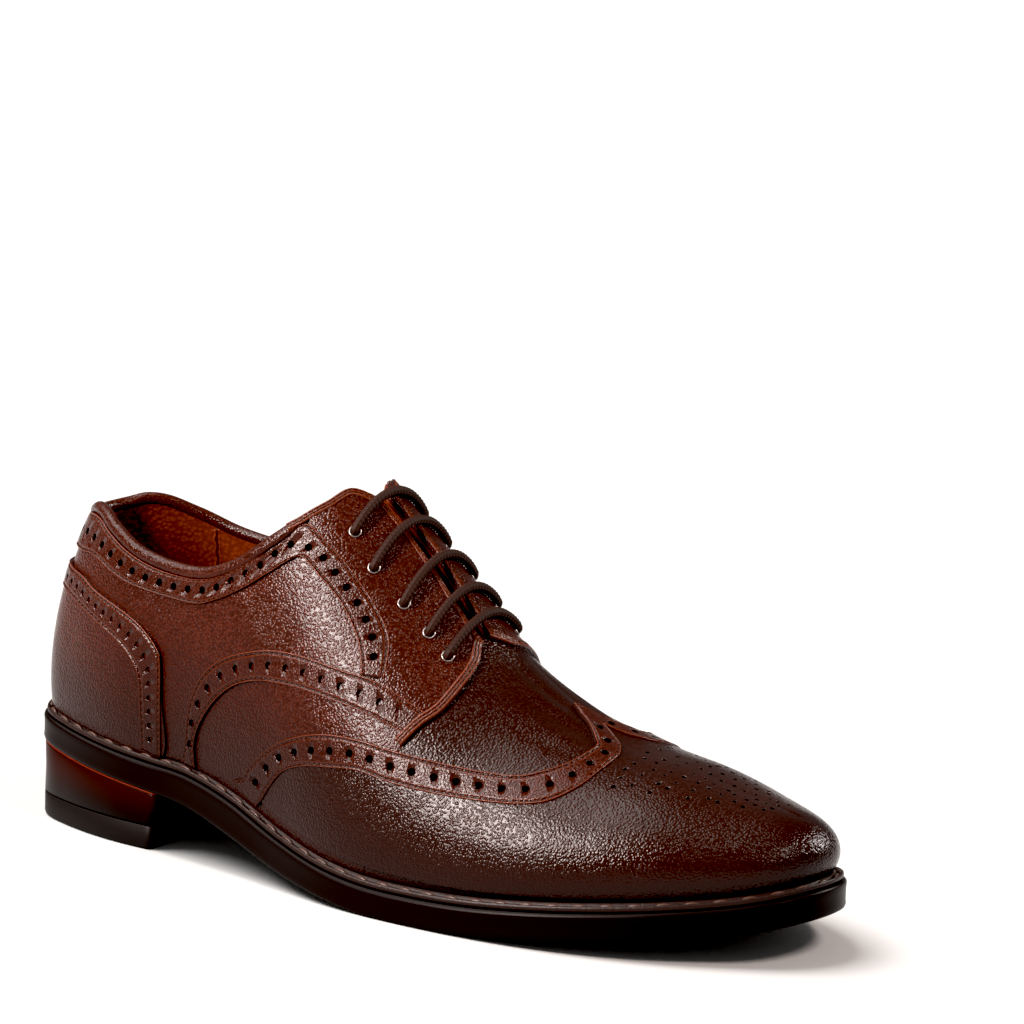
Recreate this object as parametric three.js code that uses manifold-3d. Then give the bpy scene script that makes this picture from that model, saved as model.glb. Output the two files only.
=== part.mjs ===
// Right shoe of a pair of full-brogue derbies, in millimetres, +Z up, toe at +X, inner side at +Y.
// The last (the foot-shaped form) is one function of two numbers: u runs from the heel back (0) to
// the toe (1), and w runs over the foot from the outer side of the sole (-1) by the ridge (0) to the
// inner side (1). Every leather piece is cut as a flat pattern in u and w, then lasted over the form.
import * as THREE from 'three';
import { mergeVertices } from 'three/addons/utils/BufferGeometryUtils.js';
import Module from 'manifold-3d';

const wasm = await Module();
wasm.setup();

// Driving sizes
const LENGTH = 300;         // outsole, heel to toe
const HEEL_EDGE = 3.5;      // sole edge standing out behind the upper
const TOE_EDGE = 5.5;       // and in front of it
const LAST_LENGTH = LENGTH - HEEL_EDGE - TOE_EDGE;
const GAP = 0.3;            // between neighbouring pieces
const SOLE_EASE = 1.0;      // rounding of the sole's edges
const WELT_HEIGHT = 2.3;
const WELT_SET_IN = 1.1;    // from the sole's edge
const WELT_UNDER = 6;       // how far it reaches in under the upper
const UPPER_LIFT = 3.0;     // foot of the upper above the outsole's top
const WALL = 2.4;           // upper with its lining
const OVERLAY = 1.0;        // stitched-on leather
const INSOLE = 3.0;
const TONGUE = 1.8;
const TONGUE_DEPTH = 6.8;   // tongue below the upper's face, with room for the lace
const HEEL_BREAST = 66.5;   // front of the heel, under the sole
const BREAST_LEAN = 2.0;    // its foot is this much further back
const BREAST_HOLLOW = 1.2;  // and its middle
const HEEL_SET_IN = 0.6;    // from the sole's edge
const TOP_PIECE = 8.0;
const TREAD_FLAT = 0.1;     // worn off the tread, so that it stands on a flat
const LACE = 2.8;
const EYELET_BORE = 3.6;
const EYELET_WALL = 0.45;
const EYELET_DEPTH = 1.6;   // into the upper
const EYELET_FLANGE = 2.7;  // radius
const HOLE = EYELET_BORE / 2 + EYELET_WALL + GAP;
const CELLS_LONG = 32;      // facets of the form, heel to toe
const CELLS_ROUND = 20;     // and across it
const SOLE_STATIONS = 36;
const HEEL_STATIONS = 14;

// One row per section, heel back to toe: widths of the upper's foot from the centre line, outward lean
// of the side walls, where that lean is greatest (share of the height), place of the ridge (x, y, z),
// half-width of its crown, and the sole's edge standing out past the upper.
const SECTIONS = [
  { outer: 0, inner: 0, leanOut: 4.5, leanIn: 4.5, belly: 0.36, x: 36, y: 0, z: 125, crown: 16, edge: 3.5 },
  { outer: 15, inner: 17, leanOut: 4.5, leanIn: 4.5, belly: 0.38, x: 38, y: 0, z: 126, crown: 17, edge: 3.5 },
  { outer: 23, inner: 26.8, leanOut: 5, leanIn: 5, belly: 0.42, x: 44, y: 0, z: 129, crown: 18.5, edge: 3.4 },
  { outer: 29, inner: 30.6, leanOut: 5, leanIn: 6, belly: 0.48, x: 57, y: 0, z: 133, crown: 21, edge: 3.2 },
  { outer: 31.5, inner: 28.6, leanOut: 5, leanIn: 8, belly: 0.54, x: 82, y: 0, z: 136, crown: 22, edge: 3 },
  { outer: 37.5, inner: 24, leanOut: 4, leanIn: 11, belly: 0.58, x: 113, y: 0.5, z: 137, crown: 22, edge: 3 },
  { outer: 46, inner: 24.5, leanOut: 4, leanIn: 10.5, belly: 0.52, x: 148, y: 1, z: 109, crown: 20.5, edge: 3.4 },
  { outer: 47.2, inner: 33.8, leanOut: 6, leanIn: 8, belly: 0.52, x: 186, y: 2.5, z: 74.5, crown: 19, edge: 4.2 },
  { outer: 43.6, inner: 43, leanOut: 7, leanIn: 7, belly: 0.52, x: 220, y: 3.6, z: 56.5, crown: 27, edge: 4.8 },
  { outer: 35.2, inner: 39.5, leanOut: 7.5, leanIn: 7.5, belly: 0.54, x: 247, y: 3.8, z: 50.5, crown: 24.5, edge: 5 },
  { outer: 23.4, inner: 29.5, leanOut: 7.5, leanIn: 7.5, belly: 0.56, x: 267, y: 3.6, z: 45.5, crown: 17, edge: 5.2 },
  { outer: 12.4, inner: 16.5, leanOut: 7.5, leanIn: 7.5, belly: 0.56, x: 280, y: 3.2, z: 43, crown: 10.5, edge: 5.4 },
  { outer: -3, inner: 3, leanOut: 7.5, leanIn: 7.5, belly: 0.56, x: 285.5, y: 3, z: 41.5, crown: 5.5, edge: 5.5 },
];
const TOE = SECTIONS.length - 1;

// Side view of the outsole: how high its top edge stands, and how thick it is there.
const SOLE_PROFILE = [
  { x: 0, top: 35.8, thick: 9.0 },
  { x: 30, top: 32.2, thick: 9.0 },
  { x: 62, top: 29.0, thick: 9.2 },
  { x: 80, top: 27.7, thick: 10.2 },
  { x: 100, top: 23.2, thick: 11.0 },
  { x: 120, top: 16.4, thick: 10.2 },
  { x: 140, top: 11.8, thick: 9.3 },
  { x: 160, top: 9.3, thick: 9.1 },
  { x: 180, top: 9.0, thick: 9.1 },
  { x: 200, top: 9.7, thick: 9.0 },
  { x: 220, top: 11.4, thick: 9.0 },
  { x: 240, top: 13.5, thick: 9.0 },
  { x: 260, top: 15.9, thick: 9.0 },
  { x: 280, top: 18.8, thick: 9.0 },
  { x: 300, top: 23.6, thick: 9.0 },
];

// Seams, as places on the form: at is the section, with parts of one between rows, and up is the
// height there, from the foot line (0) to the ridge (1). The same table serves both sides.
const COLLAR = [
  { at: 0, up: 0.615 }, { at: 0.8, up: 0.618 }, { at: 1.4, up: 0.62 }, { at: 2.0, up: 0.592 },
  { at: 2.6, up: 0.532 }, { at: 3.29, up: 0.458 }, { at: 4.0, up: 0.42 }, { at: 4.5, up: 0.446 },
  { at: 4.86, up: 0.527 }, { at: 5.1, up: 0.623 }, { at: 5.26, up: 0.718 }, { at: 5.38, up: 0.83 },
  { at: 5.48, up: 0.88 }, { at: 5.58, up: 0.905 },
];
const THROAT_OUTER = [
  { at: 5.58, up: 0.905 }, { at: 5.8, up: 0.913 }, { at: 6.02, up: 0.906 }, { at: 6.26, up: 0.888 },
  { at: 6.47, up: 0.869 }, { at: 6.72, up: 0.852 },
];
// The inner facing reaches over the ridge, so these places are still on the outer side of it.
const THROAT_INNER = [
  { at: 5.58, up: 0.985 }, { at: 5.78, up: 0.99 }, { at: 6.0, up: 0.985 }, { at: 6.24, up: 0.97 },
  { at: 6.46, up: 0.945 }, { at: 6.72, up: 0.91 },
];
const COLLAR_SEAM = [
  { at: 0, up: 0.49 }, { at: 1.0, up: 0.478 }, { at: 1.68, up: 0.46 }, { at: 2.24, up: 0.444 },
  { at: 2.83, up: 0.395 }, { at: 3.28, up: 0.365 }, { at: 4.02, up: 0.337 }, { at: 4.32, up: 0.348 },
  { at: 4.66, up: 0.385 }, { at: 4.95, up: 0.445 }, { at: 5.12, up: 0.5 },
];
const COUNTER_SEAM = [
  { at: 0, up: 0.44 }, { at: 1.0, up: 0.428 }, { at: 2.07, up: 0.388 }, { at: 2.47, up: 0.355 },
  { at: 3.13, up: 0.305 }, { at: 3.46, up: 0.268 }, { at: 3.68, up: 0.225 }, { at: 3.73, up: 0.185 },
  { at: 3.74, up: 0.122 }, { at: 3.73, up: 0.025 },
];
const FACING_SEAM = [
  { at: 5.21, up: 0.53 }, { at: 5.42, up: 0.53 }, { at: 5.68, up: 0.526 }, { at: 5.88, up: 0.5 },
  { at: 5.99, up: 0.452 }, { at: 6.11, up: 0.412 }, { at: 6.28, up: 0.386 }, { at: 6.52, up: 0.36 },
];
const TAB_EDGE = [
  { at: 6.52, up: 0.36 }, { at: 6.63, up: 0.45 }, { at: 6.74, up: 0.54 }, { at: 6.79, up: 0.67 },
  { at: 6.78, up: 0.77 }, { at: 6.72, up: 0.835 },
];
const WING_SEAM = [
  { at: 4.72, up: 0.025 }, { at: 4.85, up: 0.04 }, { at: 4.93, up: 0.068 }, { at: 5.18, up: 0.13 },
  { at: 5.47, up: 0.19 }, { at: 5.82, up: 0.255 }, { at: 6.14, up: 0.298 }, { at: 6.46, up: 0.334 },
  { at: 6.89, up: 0.396 }, { at: 7.31, up: 0.462 }, { at: 7.58, up: 0.516 }, { at: 7.75, up: 0.583 },
  { at: 7.89, up: 0.669 }, { at: 7.96, up: 0.76 }, { at: 7.98, up: 0.843 },
];
const WING_PEAK = [
  { at: 7.98, up: 0.843 }, { at: 7.88, up: 0.892 }, { at: 7.71, up: 0.938 }, { at: 7.5, up: 0.965 },
  { at: 7.28, up: 0.985 }, { at: 7.1, up: 1.0 },
];
const EYELETS_OUTER = [
  { at: 5.57, up: 0.72 }, { at: 5.82, up: 0.69 }, { at: 6.14, up: 0.687 }, { at: 6.39, up: 0.687 },
  { at: 6.58, up: 0.683 },
];
const EYELETS_INNER = [
  { at: 5.62, up: 0.74 }, { at: 5.87, up: 0.74 }, { at: 6.15, up: 0.74 }, { at: 6.4, up: 0.745 },
  { at: 6.6, up: 0.74 },
];
const TONGUE_OUTER = [
  { at: 5.54, up: 0.68 }, { at: 5.75, up: 0.61 }, { at: 6.1, up: 0.58 }, { at: 6.6, up: 0.6 },
  { at: 7.1, up: 0.64 }, { at: 7.6, up: 0.74 },
];
const TONGUE_INNER = [
  { at: 5.54, up: 0.72 }, { at: 5.75, up: 0.64 }, { at: 6.1, up: 0.6 }, { at: 6.6, up: 0.62 },
  { at: 7.1, up: 0.66 }, { at: 7.6, up: 0.74 },
];

// Curve from a to b, with slopes p and q at its ends, at share f of the way.
function hermite(f, a, p, b, q) {
  const f2 = f * f;
  const f3 = f2 * f;
  return (2 * f3 - 3 * f2 + 1) * a + (f3 - 2 * f2 + f) * p + (3 * f2 - 2 * f3) * b + (f3 - f2) * q;
}

// Smooth curve through evenly spaced values; the values past either end may be given.
function through(values, k, before, after) {
  const last = values.length - 1;
  const at = (i) => (i < 0 ? before : i > last ? after : values[i]);
  const slope = (i) => {
    if (at(i - 1) === undefined) return at(i + 1) - at(i);
    if (at(i + 1) === undefined) return at(i) - at(i - 1);
    return (at(i + 1) - at(i - 1)) / 2;
  };
  const i = Math.max(0, Math.min(Math.floor(k), last - 1));
  const f = k - i;
  return hermite(f, at(i), slope(i), at(i + 1), slope(i + 1));
}

const column = (key) => SECTIONS.map((row) => row[key]);
const smooth = (key, k) => through(column(key), k);
const mirrored = (key, k) => {
  const c = column(key);
  return through(c, k, c[1], c[TOE - 1]);
};

// Smooth curve through the sole's profile, whose rows aren't evenly spaced.
function profile(key, x) {
  const rows = SOLE_PROFILE;
  const last = rows.length - 1;
  const c = Math.max(rows[0].x, Math.min(x, rows[last].x));
  let i = 0;
  while (i < last - 1 && c > rows[i + 1].x) i += 1;
  const slope = (j) => {
    const a = rows[Math.max(0, j - 1)];
    const b = rows[Math.min(last, j + 1)];
    return (b[key] - a[key]) / (b.x - a.x);
  };
  const span = rows[i + 1].x - rows[i].x;
  const f = (c - rows[i].x) / span;
  return hermite(f, rows[i][key], span * slope(i), rows[i + 1][key], span * slope(i + 1));
}
const soleTop = (x) => profile('top', x);
const soleUnder = (x) => Math.max(0, profile('top', x) - profile('thick', x) - TREAD_FLAT);
const edge = (u) => smooth('edge', u * TOE);

// Foot of the upper on one side: side is -1 for outer, 1 for inner.
function footOf(u, side) {
  const mine = column(side < 0 ? 'outer' : 'inner');
  const other = column(side < 0 ? 'inner' : 'outer');
  const y = through(mine, u * TOE, -other[1], -other[TOE - 1]);
  return new THREE.Vector2(HEEL_EDGE + LAST_LENGTH * (1 - Math.cos(Math.PI * u)) / 2, side * y);
}

// The foot line moved outward by d (inward when negative).
function outline(u, side, d) {
  const p = footOf(u, side);
  const before = footOf(Math.max(0, u - 1e-4), side);
  const along = footOf(Math.min(1, u + 1e-4), side).sub(before).normalize();
  if (u < 1e-6) return new THREE.Vector2(p.x - d, 0);
  if (u > 1 - 1e-6) return new THREE.Vector2(p.x + d, p.y);
  return new THREE.Vector2(p.x - side * along.y * d, p.y + side * along.x * d);
}

// A point of the form: each section is one curve from the foot line to the ridge.
function form(u, w) {
  const side = w < 0 ? -1 : 1;
  const k = u * TOE;
  const foot = footOf(u, side);
  const footZ = soleTop(foot.x) + UPPER_LIFT;
  const ridge = new THREE.Vector3(mirrored('x', k), smooth('y', k), mirrored('z', k));
  const out = new THREE.Vector2(foot.x - ridge.x, foot.y - ridge.y).normalize();
  const lean = mirrored(side < 0 ? 'leanOut' : 'leanIn', k);
  const belly = mirrored('belly', k);
  const crown = mirrored('crown', k);
  const wall = new THREE.CubicBezierCurve3(
    new THREE.Vector3(foot.x, foot.y, footZ),
    new THREE.Vector3(foot.x + out.x * lean, foot.y + out.y * lean, footZ + belly * (ridge.z - footZ)),
    new THREE.Vector3(ridge.x + out.x * crown, ridge.y + out.y * crown, ridge.z),
    ridge,
  );
  return wall.getPoint(1 - Math.abs(w));
}

// Outward direction at a point of the form; the two sides agree where they meet at heel and toe.
function outward(u, w) {
  const e = 2e-3;
  const c = THREE.MathUtils.clamp(u, 2 * e, 1 - 2 * e);
  const across = (v) => {
    const d = THREE.MathUtils.clamp(v, e - 1, 1 - e);
    const forward = form(c + e, d).sub(form(c - e, d));
    return forward.cross(form(c, d + e).sub(form(c, d - e))).normalize();
  };
  const n = across(w);
  return u === 0 || u === 1 ? n.add(across(-w)).normalize() : n;
}

const onForm = (u, w, h) => form(u, w).addScaledVector(outward(u, w), h);

// Patterns: flat outlines, 300 long and 150 to each side, with a slight bow that keeps every facet.
const LONG = 300;
const HALF = 150;
const bow = (x, y) => 6e-4 * (x * x + y * y);
const flat = (place, side) => new THREE.Vector2(place.at / TOE * LONG, side * (1 - place.up) * HALF);
const lift = (p, h) => onForm(p.x / LONG, p.y / HALF, h);

const curve = (places, side) => new THREE.SplineCurve(places.map((place) => flat(place, side)));
const line = (places, side, steps) => curve(places, side).getPoints(steps);
const shifted = (places, by) => places.map(({ at, up }) => ({ at, up: up + by }));

function solidOf(positions, triangles) {
  const vertProperties = new Float32Array(positions);
  const triVerts = new Uint32Array(triangles);
  return new wasm.Manifold(new wasm.Mesh({ numProp: 3, vertProperties, triVerts }));
}

function bodyOf(positions, triangles) {
  const g = new THREE.BufferGeometry();
  g.setAttribute('position', new THREE.Float32BufferAttribute(positions, 3));
  g.setIndex(triangles);
  return g;
}

function welded(g, within) {
  g.deleteAttribute('normal');
  g.deleteAttribute('uv');
  return mergeVertices(g, within);
}

// The sheet of leather before cutting, as a closed slab one unit thick.
function sheet(fromU, toU, fromW, toW) {
  const nu = Math.round((toU - fromU) * CELLS_LONG);
  const nw = Math.round((toW - fromW) / 2 * CELLS_ROUND);
  const p = [];
  const t = [];
  const id = (i, j, top) => (i * (nw + 1) + j) * 2 + top;
  for (let i = 0; i <= nu; i += 1) {
    for (let j = 0; j <= nw; j += 1) {
      const x = (fromU + (toU - fromU) * i / nu) * LONG;
      const y = (fromW + (toW - fromW) * j / nw) * HALF;
      for (const top of [0, 1]) p.push(x, y, bow(x, y) + top);
    }
  }
  const quad = (a, b, c, d) => t.push(a, b, c, a, c, d);
  for (let i = 0; i < nu; i += 1) {
    for (let j = 0; j < nw; j += 1) {
      quad(id(i, j, 1), id(i + 1, j, 1), id(i + 1, j + 1, 1), id(i, j + 1, 1));
      quad(id(i, j, 0), id(i, j + 1, 0), id(i + 1, j + 1, 0), id(i + 1, j, 0));
    }
  }
  for (let i = 0; i < nu; i += 1) {
    quad(id(i, 0, 0), id(i + 1, 0, 0), id(i + 1, 0, 1), id(i, 0, 1));
    quad(id(i + 1, nw, 0), id(i, nw, 0), id(i, nw, 1), id(i + 1, nw, 1));
  }
  for (let j = 0; j < nw; j += 1) {
    quad(id(0, j + 1, 0), id(0, j, 0), id(0, j, 1), id(0, j + 1, 1));
    quad(id(nu, j, 0), id(nu, j + 1, 0), id(nu, j + 1, 1), id(nu, j, 1));
  }
  return solidOf(p, t);
}

// A cutting die: an outline of the pattern made deep enough to cut through the sheet.
function die(points) {
  const clear = 20;
  const depth = bow(LONG, HALF) + 2 * clear;
  const g = new THREE.ExtrudeGeometry(new THREE.Shape(points), { depth, bevelEnabled: false, steps: 1 });
  const m = welded(g.translate(0, 0, -clear), 1e-5);
  return solidOf(m.attributes.position.array, m.index.array);
}

// Last a cut pattern over the form, between two heights above it, and join it at heel and toe.
// sink(k) lowers the whole piece at section k.
function lasted(pattern, low, high, sink = () => 0) {
  const mesh = pattern.getMesh();
  const v = mesh.vertProperties;
  const placed = [];
  const u = [];
  for (let i = 0; i < v.length; i += 3) {
    const isTop = v[i + 2] - bow(v[i], v[i + 1]) > 0.5;
    const share = THREE.MathUtils.clamp(v[i] / LONG, 0, 1);
    u.push(share < 1e-5 || share > 1 - 1e-5 ? Math.round(share) : share);
    const w = THREE.MathUtils.clamp(v[i + 1] / HALF, -1, 1);
    placed.push(...onForm(u.at(-1), w, (isTop ? high : low) - sink(share * TOE)));
  }
  const keep = [];
  for (let i = 0; i < mesh.triVerts.length; i += 3) {
    const corners = Array.from(mesh.triVerts.slice(i, i + 3));
    const isInnerWall = [0, 1].some((end) => corners.every((c) => u[c] === end));
    if (!isInnerWall) keep.push(...corners);
  }
  return mergeVertices(bodyOf(placed, keep), 2e-3);
}

// Side walls between each ring of points and the next.
function walls(rings) {
  const n = rings[0].length;
  const p = [];
  const t = [];
  for (const ring of rings) for (const q of ring) p.push(q.x, q.y, q.z);
  for (let r = 0; r + 1 < rings.length; r += 1) {
    for (let i = 0; i < n; i += 1) {
      const j = (i + 1) % n;
      const a = r * n;
      const b = a + n;
      t.push(a + i, a + j, b + j, a + i, b + j, b + i);
    }
  }
  return { p, t };
}

// Closed body through a stack of rings, lowest first. A ring starts at the heel, runs forward on the
// outer side and back on the inner side, and each end is capped by strips across.
function stacked(rings) {
  const n = rings[0].length;
  const half = n / 2;
  const { p, t } = walls(rings);
  const face = (up, a, b, c) => t.push(...(up ? [a, b, c] : [a, c, b]));
  const cap = (base, up) => {
    for (let i = 0; i < half; i += 1) {
      const [a, b, c, d] = [i, i + 1, n - i - 1, n - i].map((j) => base + j);
      if (i < half - 1) face(up, a, b, c);
      if (i > 0) face(up, a, i < half - 1 ? c : b, d);
    }
  };
  cap(0, false);
  cap((rings.length - 1) * n, true);
  return bodyOf(p, t);
}

// Ring round the sole, moved out by reach(u) from the foot line, at height(x).
function soleRing(reach, height) {
  const stops = [];
  for (let i = 0; i <= SOLE_STATIONS; i += 1) stops.push([i / SOLE_STATIONS, -1]);
  for (let i = SOLE_STATIONS - 1; i > 0; i -= 1) stops.push([i / SOLE_STATIONS, 1]);
  return stops.map(([u, side]) => {
    const q = outline(u, side, reach(u));
    return new THREE.Vector3(q.x, q.y, height(q.x));
  });
}

// Ring round the heel, whose front is straight across but for a slight hollow.
function heelRing(inset, lean, height) {
  const front = HEEL_BREAST - lean - inset;
  const at = (u, side) => outline(u, side, edge(u) - HEEL_SET_IN - inset);
  const corner = (side) => {
    let [near, far] = [0.1, 0.6];
    while (far - near > 1e-9) {
      const middle = (near + far) / 2;
      if (at(middle, side).x < front) near = middle;
      else far = middle;
    }
    return near;
  };
  const stops = Array.from({ length: HEEL_STATIONS + 1 }, (_, i) => i / HEEL_STATIONS);
  const along = (side) => stops.map((f) => at(corner(side) * f, side));
  const outer = along(-1);
  const inner = along(1).slice(1).reverse();
  const hollow = new THREE.Vector2(front - BREAST_HOLLOW, (outer.at(-1).y + inner[0].y) / 2);
  return [...outer, hollow, ...inner].map((q) => new THREE.Vector3(q.x, q.y, height(q.x)));
}

const group = new THREE.Group();
function add(name, geometry, color, roughness, metalness = 0) {
  const mesh = new THREE.Mesh(geometry, new THREE.MeshStandardMaterial({ color, roughness, metalness }));
  mesh.name = name;
  group.add(mesh);
  return mesh;
}

// Outsole: one plate with eased edges, curved up at waist and toe, flat where it treads.
add('outsole', stacked([
  soleRing((u) => edge(u) - SOLE_EASE, soleUnder),
  soleRing(edge, (x) => soleUnder(x) + SOLE_EASE),
  soleRing(edge, (x) => soleTop(x) - SOLE_EASE),
  soleRing((u) => edge(u) - SOLE_EASE, soleTop),
]), 0x1d100c, 0.45);

// Welt: a strip all round under the upper's edge.
const weltLow = (x) => soleTop(x) + GAP;
const weltHigh = (x) => weltLow(x) + WELT_HEIGHT;
const weltInside = (height) => soleRing(() => -WELT_UNDER, height);
const weltOutside = (height) => soleRing((u) => edge(u) - WELT_SET_IN, height);
const weltSides = walls([
  weltInside(weltLow), weltOutside(weltLow), weltOutside(weltHigh), weltInside(weltHigh),
  weltInside(weltLow),
]);
add('welt', mergeVertices(bodyOf(weltSides.p, weltSides.t), 1e-4), 0x3a2118, 0.6);

// Heel: a stack of leather lifts under the seat of the sole, and the rubber top piece it stands on.
const topPieceLean = BREAST_LEAN * 0.7;
add('heel_stack', stacked([
  heelRing(0, topPieceLean, () => TOP_PIECE + GAP),
  heelRing(0, 0, (x) => soleUnder(x) - GAP),
]), 0x3b120d, 0.4);
add('heel_top_piece', stacked([
  heelRing(SOLE_EASE, BREAST_LEAN, () => 0),
  heelRing(0, BREAST_LEAN, () => SOLE_EASE),
  heelRing(0, topPieceLean, () => TOP_PIECE),
]), 0x0c0808, 0.55);

// Insole: the plate the foot stands on, just inside the upper's wall.
const insoleReach = () => -WALL - 2 * GAP;
add('insole', stacked([
  soleRing(insoleReach, (x) => weltHigh(x) + GAP),
  soleRing(insoleReach, (x) => weltHigh(x) + GAP + INSOLE),
]), 0x6b3a22, 0.8);

// A place on the heel's centre line is drawn a little past it, where the sheet ends.
const behind = (up, side) => flat({ at: -0.4, up }, side);

// The opening for the foot: over the collar on both sides, then down the throat between the facings.
// The collar's last two places belong to the outer facing, which stops short of the ridge.
const innerCollar = COLLAR.slice(0, -2);
const mouth = die([
  behind(COLLAR[0].up, -1), ...line(COLLAR, -1, 26), ...line(THROAT_OUTER, -1, 10).slice(1),
  ...[behind(COLLAR[0].up, 1), ...line(innerCollar, 1, 24), ...line(THROAT_INNER, -1, 10)].reverse(),
]);

// A round hole through a piece, drawn so that it comes out round on the form.
function roundHole(place, side) {
  const c = flat(place, side);
  const e = 0.1;
  const along = lift(new THREE.Vector2(c.x + e, c.y), 0).sub(lift(new THREE.Vector2(c.x - e, c.y), 0));
  const across = lift(new THREE.Vector2(c.x, c.y + e), 0).sub(lift(new THREE.Vector2(c.x, c.y - e), 0));
  const first = along.clone().normalize();
  const second = across.clone().addScaledVector(first, -across.dot(first)).normalize();
  return die(Array.from({ length: 10 }, (_, i) => {
    const turn = i / 10 * 2 * Math.PI;
    const y = Math.sin(turn) * HOLE / across.dot(second);
    const x = (Math.cos(turn) * HOLE - y * across.dot(first)) / along.length();
    return new THREE.Vector2(c.x + 2 * e * x, c.y + 2 * e * y);
  }));
}
const punched = (pattern, places, side) => places.reduce(
  (rest, place) => rest.subtract(roundHole(place, side)),
  pattern,
);
const punchedOuter = (pattern) => punched(pattern, EYELETS_OUTER, -1);
const punchedInner = (pattern) => punched(pattern, EYELETS_INNER, 1);

// Upper: one hollow shell, vamp and quarters with their lining, open at collar, throat and foot.
const upper = punchedInner(punchedOuter(sheet(0, 1, -1, 1).subtract(mouth)));
add('upper', lasted(upper, -WALL, 0), 0x4a1a10, 0.5);

// Overlays are cut between two larger forms.
const overlay = (pattern) => lasted(pattern, GAP, GAP + OVERLAY);
const bothSides = (drawn) => die(drawn(-1)).add(die(drawn(1)));
const FOOT_UP = 0.03;       // lower edge of an overlay, just clear of the welt
const INSET = 0.006;        // and its step back from the edge of the opening

// Wing cap: pointed at the ridge and swept back along both sides.
const peakEnd = WING_PEAK.at(-1).at;
const wing = (side) => [
  ...line(WING_SEAM, side, 24), ...line(WING_PEAK, side, 10).slice(1),
  flat({ at: peakEnd, up: 1.02 }, side), flat({ at: TOE + 0.5, up: 1.02 }, side),
  flat({ at: TOE + 0.5, up: FOOT_UP }, side), flat({ at: WING_SEAM[0].at, up: FOOT_UP - 0.01 }, side),
];
add('wing_cap', overlay(sheet(0.375, 1, -1, 1).intersect(bothSides(wing))), 0x431309, 0.42);

// Heel counter: wraps the heel, joined at the back.
const counter = (side) => [
  behind(COUNTER_SEAM[0].up, side), ...line(COUNTER_SEAM, side, 18), behind(FOOT_UP, side),
];
add('heel_counter', overlay(sheet(0, 0.375, -1, 1).intersect(bothSides(counter))), 0x45160c, 0.45);

// Collar band: follows the opening from facing to facing.
const bandTop = [...shifted(COLLAR.filter(({ at }) => at < 5), -INSET), { at: 5.11, up: 0.6 }];
const band = (side) => [
  behind(bandTop[0].up, side), ...line(bandTop, side, 17),
  ...line(COLLAR_SEAM, side, 15).reverse(), behind(COLLAR_SEAM[0].up, side),
];
add('collar_band', overlay(sheet(0, 0.5, -1, 1).intersect(bothSides(band))), 0x4f1f13, 0.5);

// Facings: the lace panels, each ending in a tab over the vamp. The inner one starts over the ridge.
const facingTop = [{ at: 5.19, up: 0.642 }, ...shifted(COLLAR.filter(({ at }) => at > 5.2), -INSET)];
const facingRear = (side) => line([...FACING_SEAM].reverse(), side, 14).slice(1);
const facingOuter = die([
  ...line(facingTop, -1, 12), ...line(shifted(THROAT_OUTER, -INSET), -1, 10),
  ...line(TAB_EDGE, -1, 12).reverse(), ...facingRear(-1),
]);
const tabOverRidge = [{ at: 6.84, up: 0.88 }, { at: 6.82, up: 0.78 }, ...[...TAB_EDGE].reverse().slice(2)];
const facingInner = die([
  ...line(facingTop.slice(0, -2), 1, 12), ...line(shifted(THROAT_INNER, INSET), -1, 10),
  flat({ at: 6.78, up: 0.96 }, -1), flat({ at: 6.83, up: 0.985 }, 1),
  ...line(tabOverRidge, 1, 12), ...facingRear(1),
]);
const facingSheet = sheet(0.4, 0.625, -1, 1);
add('facing_outer', overlay(punchedOuter(facingSheet.intersect(facingOuter))), 0x4c1c12, 0.45);
add('facing_inner', overlay(punchedInner(facingSheet.intersect(facingInner))), 0x4c1c12, 0.45);

// Tongue: closes the throat from inside. Its front end is sewn up against the vamp, and behind that
// it dips to leave room for the lace.
const tongueFront = [{ at: 7.62, up: 0.82 }, { at: 7.62, up: 0.98 }];
const tongueTopInner = [{ at: 5.45, up: 0.84 }, { at: 5.43, up: 1 }];
const tongueTopOuter = [{ at: 5.44, up: 0.9 }, { at: 5.48, up: 0.78 }];
const tongue = die([
  ...line(TONGUE_OUTER, -1, 12), ...line(tongueFront, -1, 1), ...line(tongueFront, 1, 1).reverse(),
  ...line(TONGUE_INNER, 1, 12).reverse(), ...line(tongueTopInner, 1, 4), ...line(tongueTopOuter, -1, 3),
]);
const tongueHigh = -WALL - GAP;
const dip = (k) => (TONGUE_DEPTH + tongueHigh) * (1 - THREE.MathUtils.smoothstep(k, 6.72, 7.25));
const tongueSheet = sheet(0.40625, 0.65625, -0.5, 0.5);
add('tongue', lasted(tongueSheet.intersect(tongue), tongueHigh - TONGUE, tongueHigh, dip), 0x4a1b11, 0.6);

// Eyelets: short flanged tubes standing in the holes of both facings.
const eyeletFoot = GAP + OVERLAY + GAP;
const eyeletTop = eyeletFoot + EYELET_WALL;
const bore = EYELET_BORE / 2;
const tube = bore + EYELET_WALL;
const eyeletProfile = [
  [bore, -EYELET_DEPTH], [tube, -EYELET_DEPTH], [tube, eyeletFoot], [EYELET_FLANGE, eyeletFoot],
  [EYELET_FLANGE - 0.2, eyeletTop], [bore, eyeletTop], [bore, -EYELET_DEPTH],
].map(([r, h]) => new THREE.Vector2(r, h));
function addEyelet(name, place, side) {
  const c = flat(place, side);
  const body = welded(new THREE.LatheGeometry(eyeletProfile, 8), 1e-4).rotateX(Math.PI / 2);
  const mesh = add(name, body, 0x8e8a86, 0.3, 1);
  mesh.position.copy(lift(c, 0));
  mesh.quaternion.setFromUnitVectors(new THREE.Vector3(0, 0, 1), outward(c.x / LONG, c.y / HALF));
}
EYELETS_OUTER.forEach((place, i) => addEyelet(`eyelet_outer_${i + 1}`, place, -1));
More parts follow.
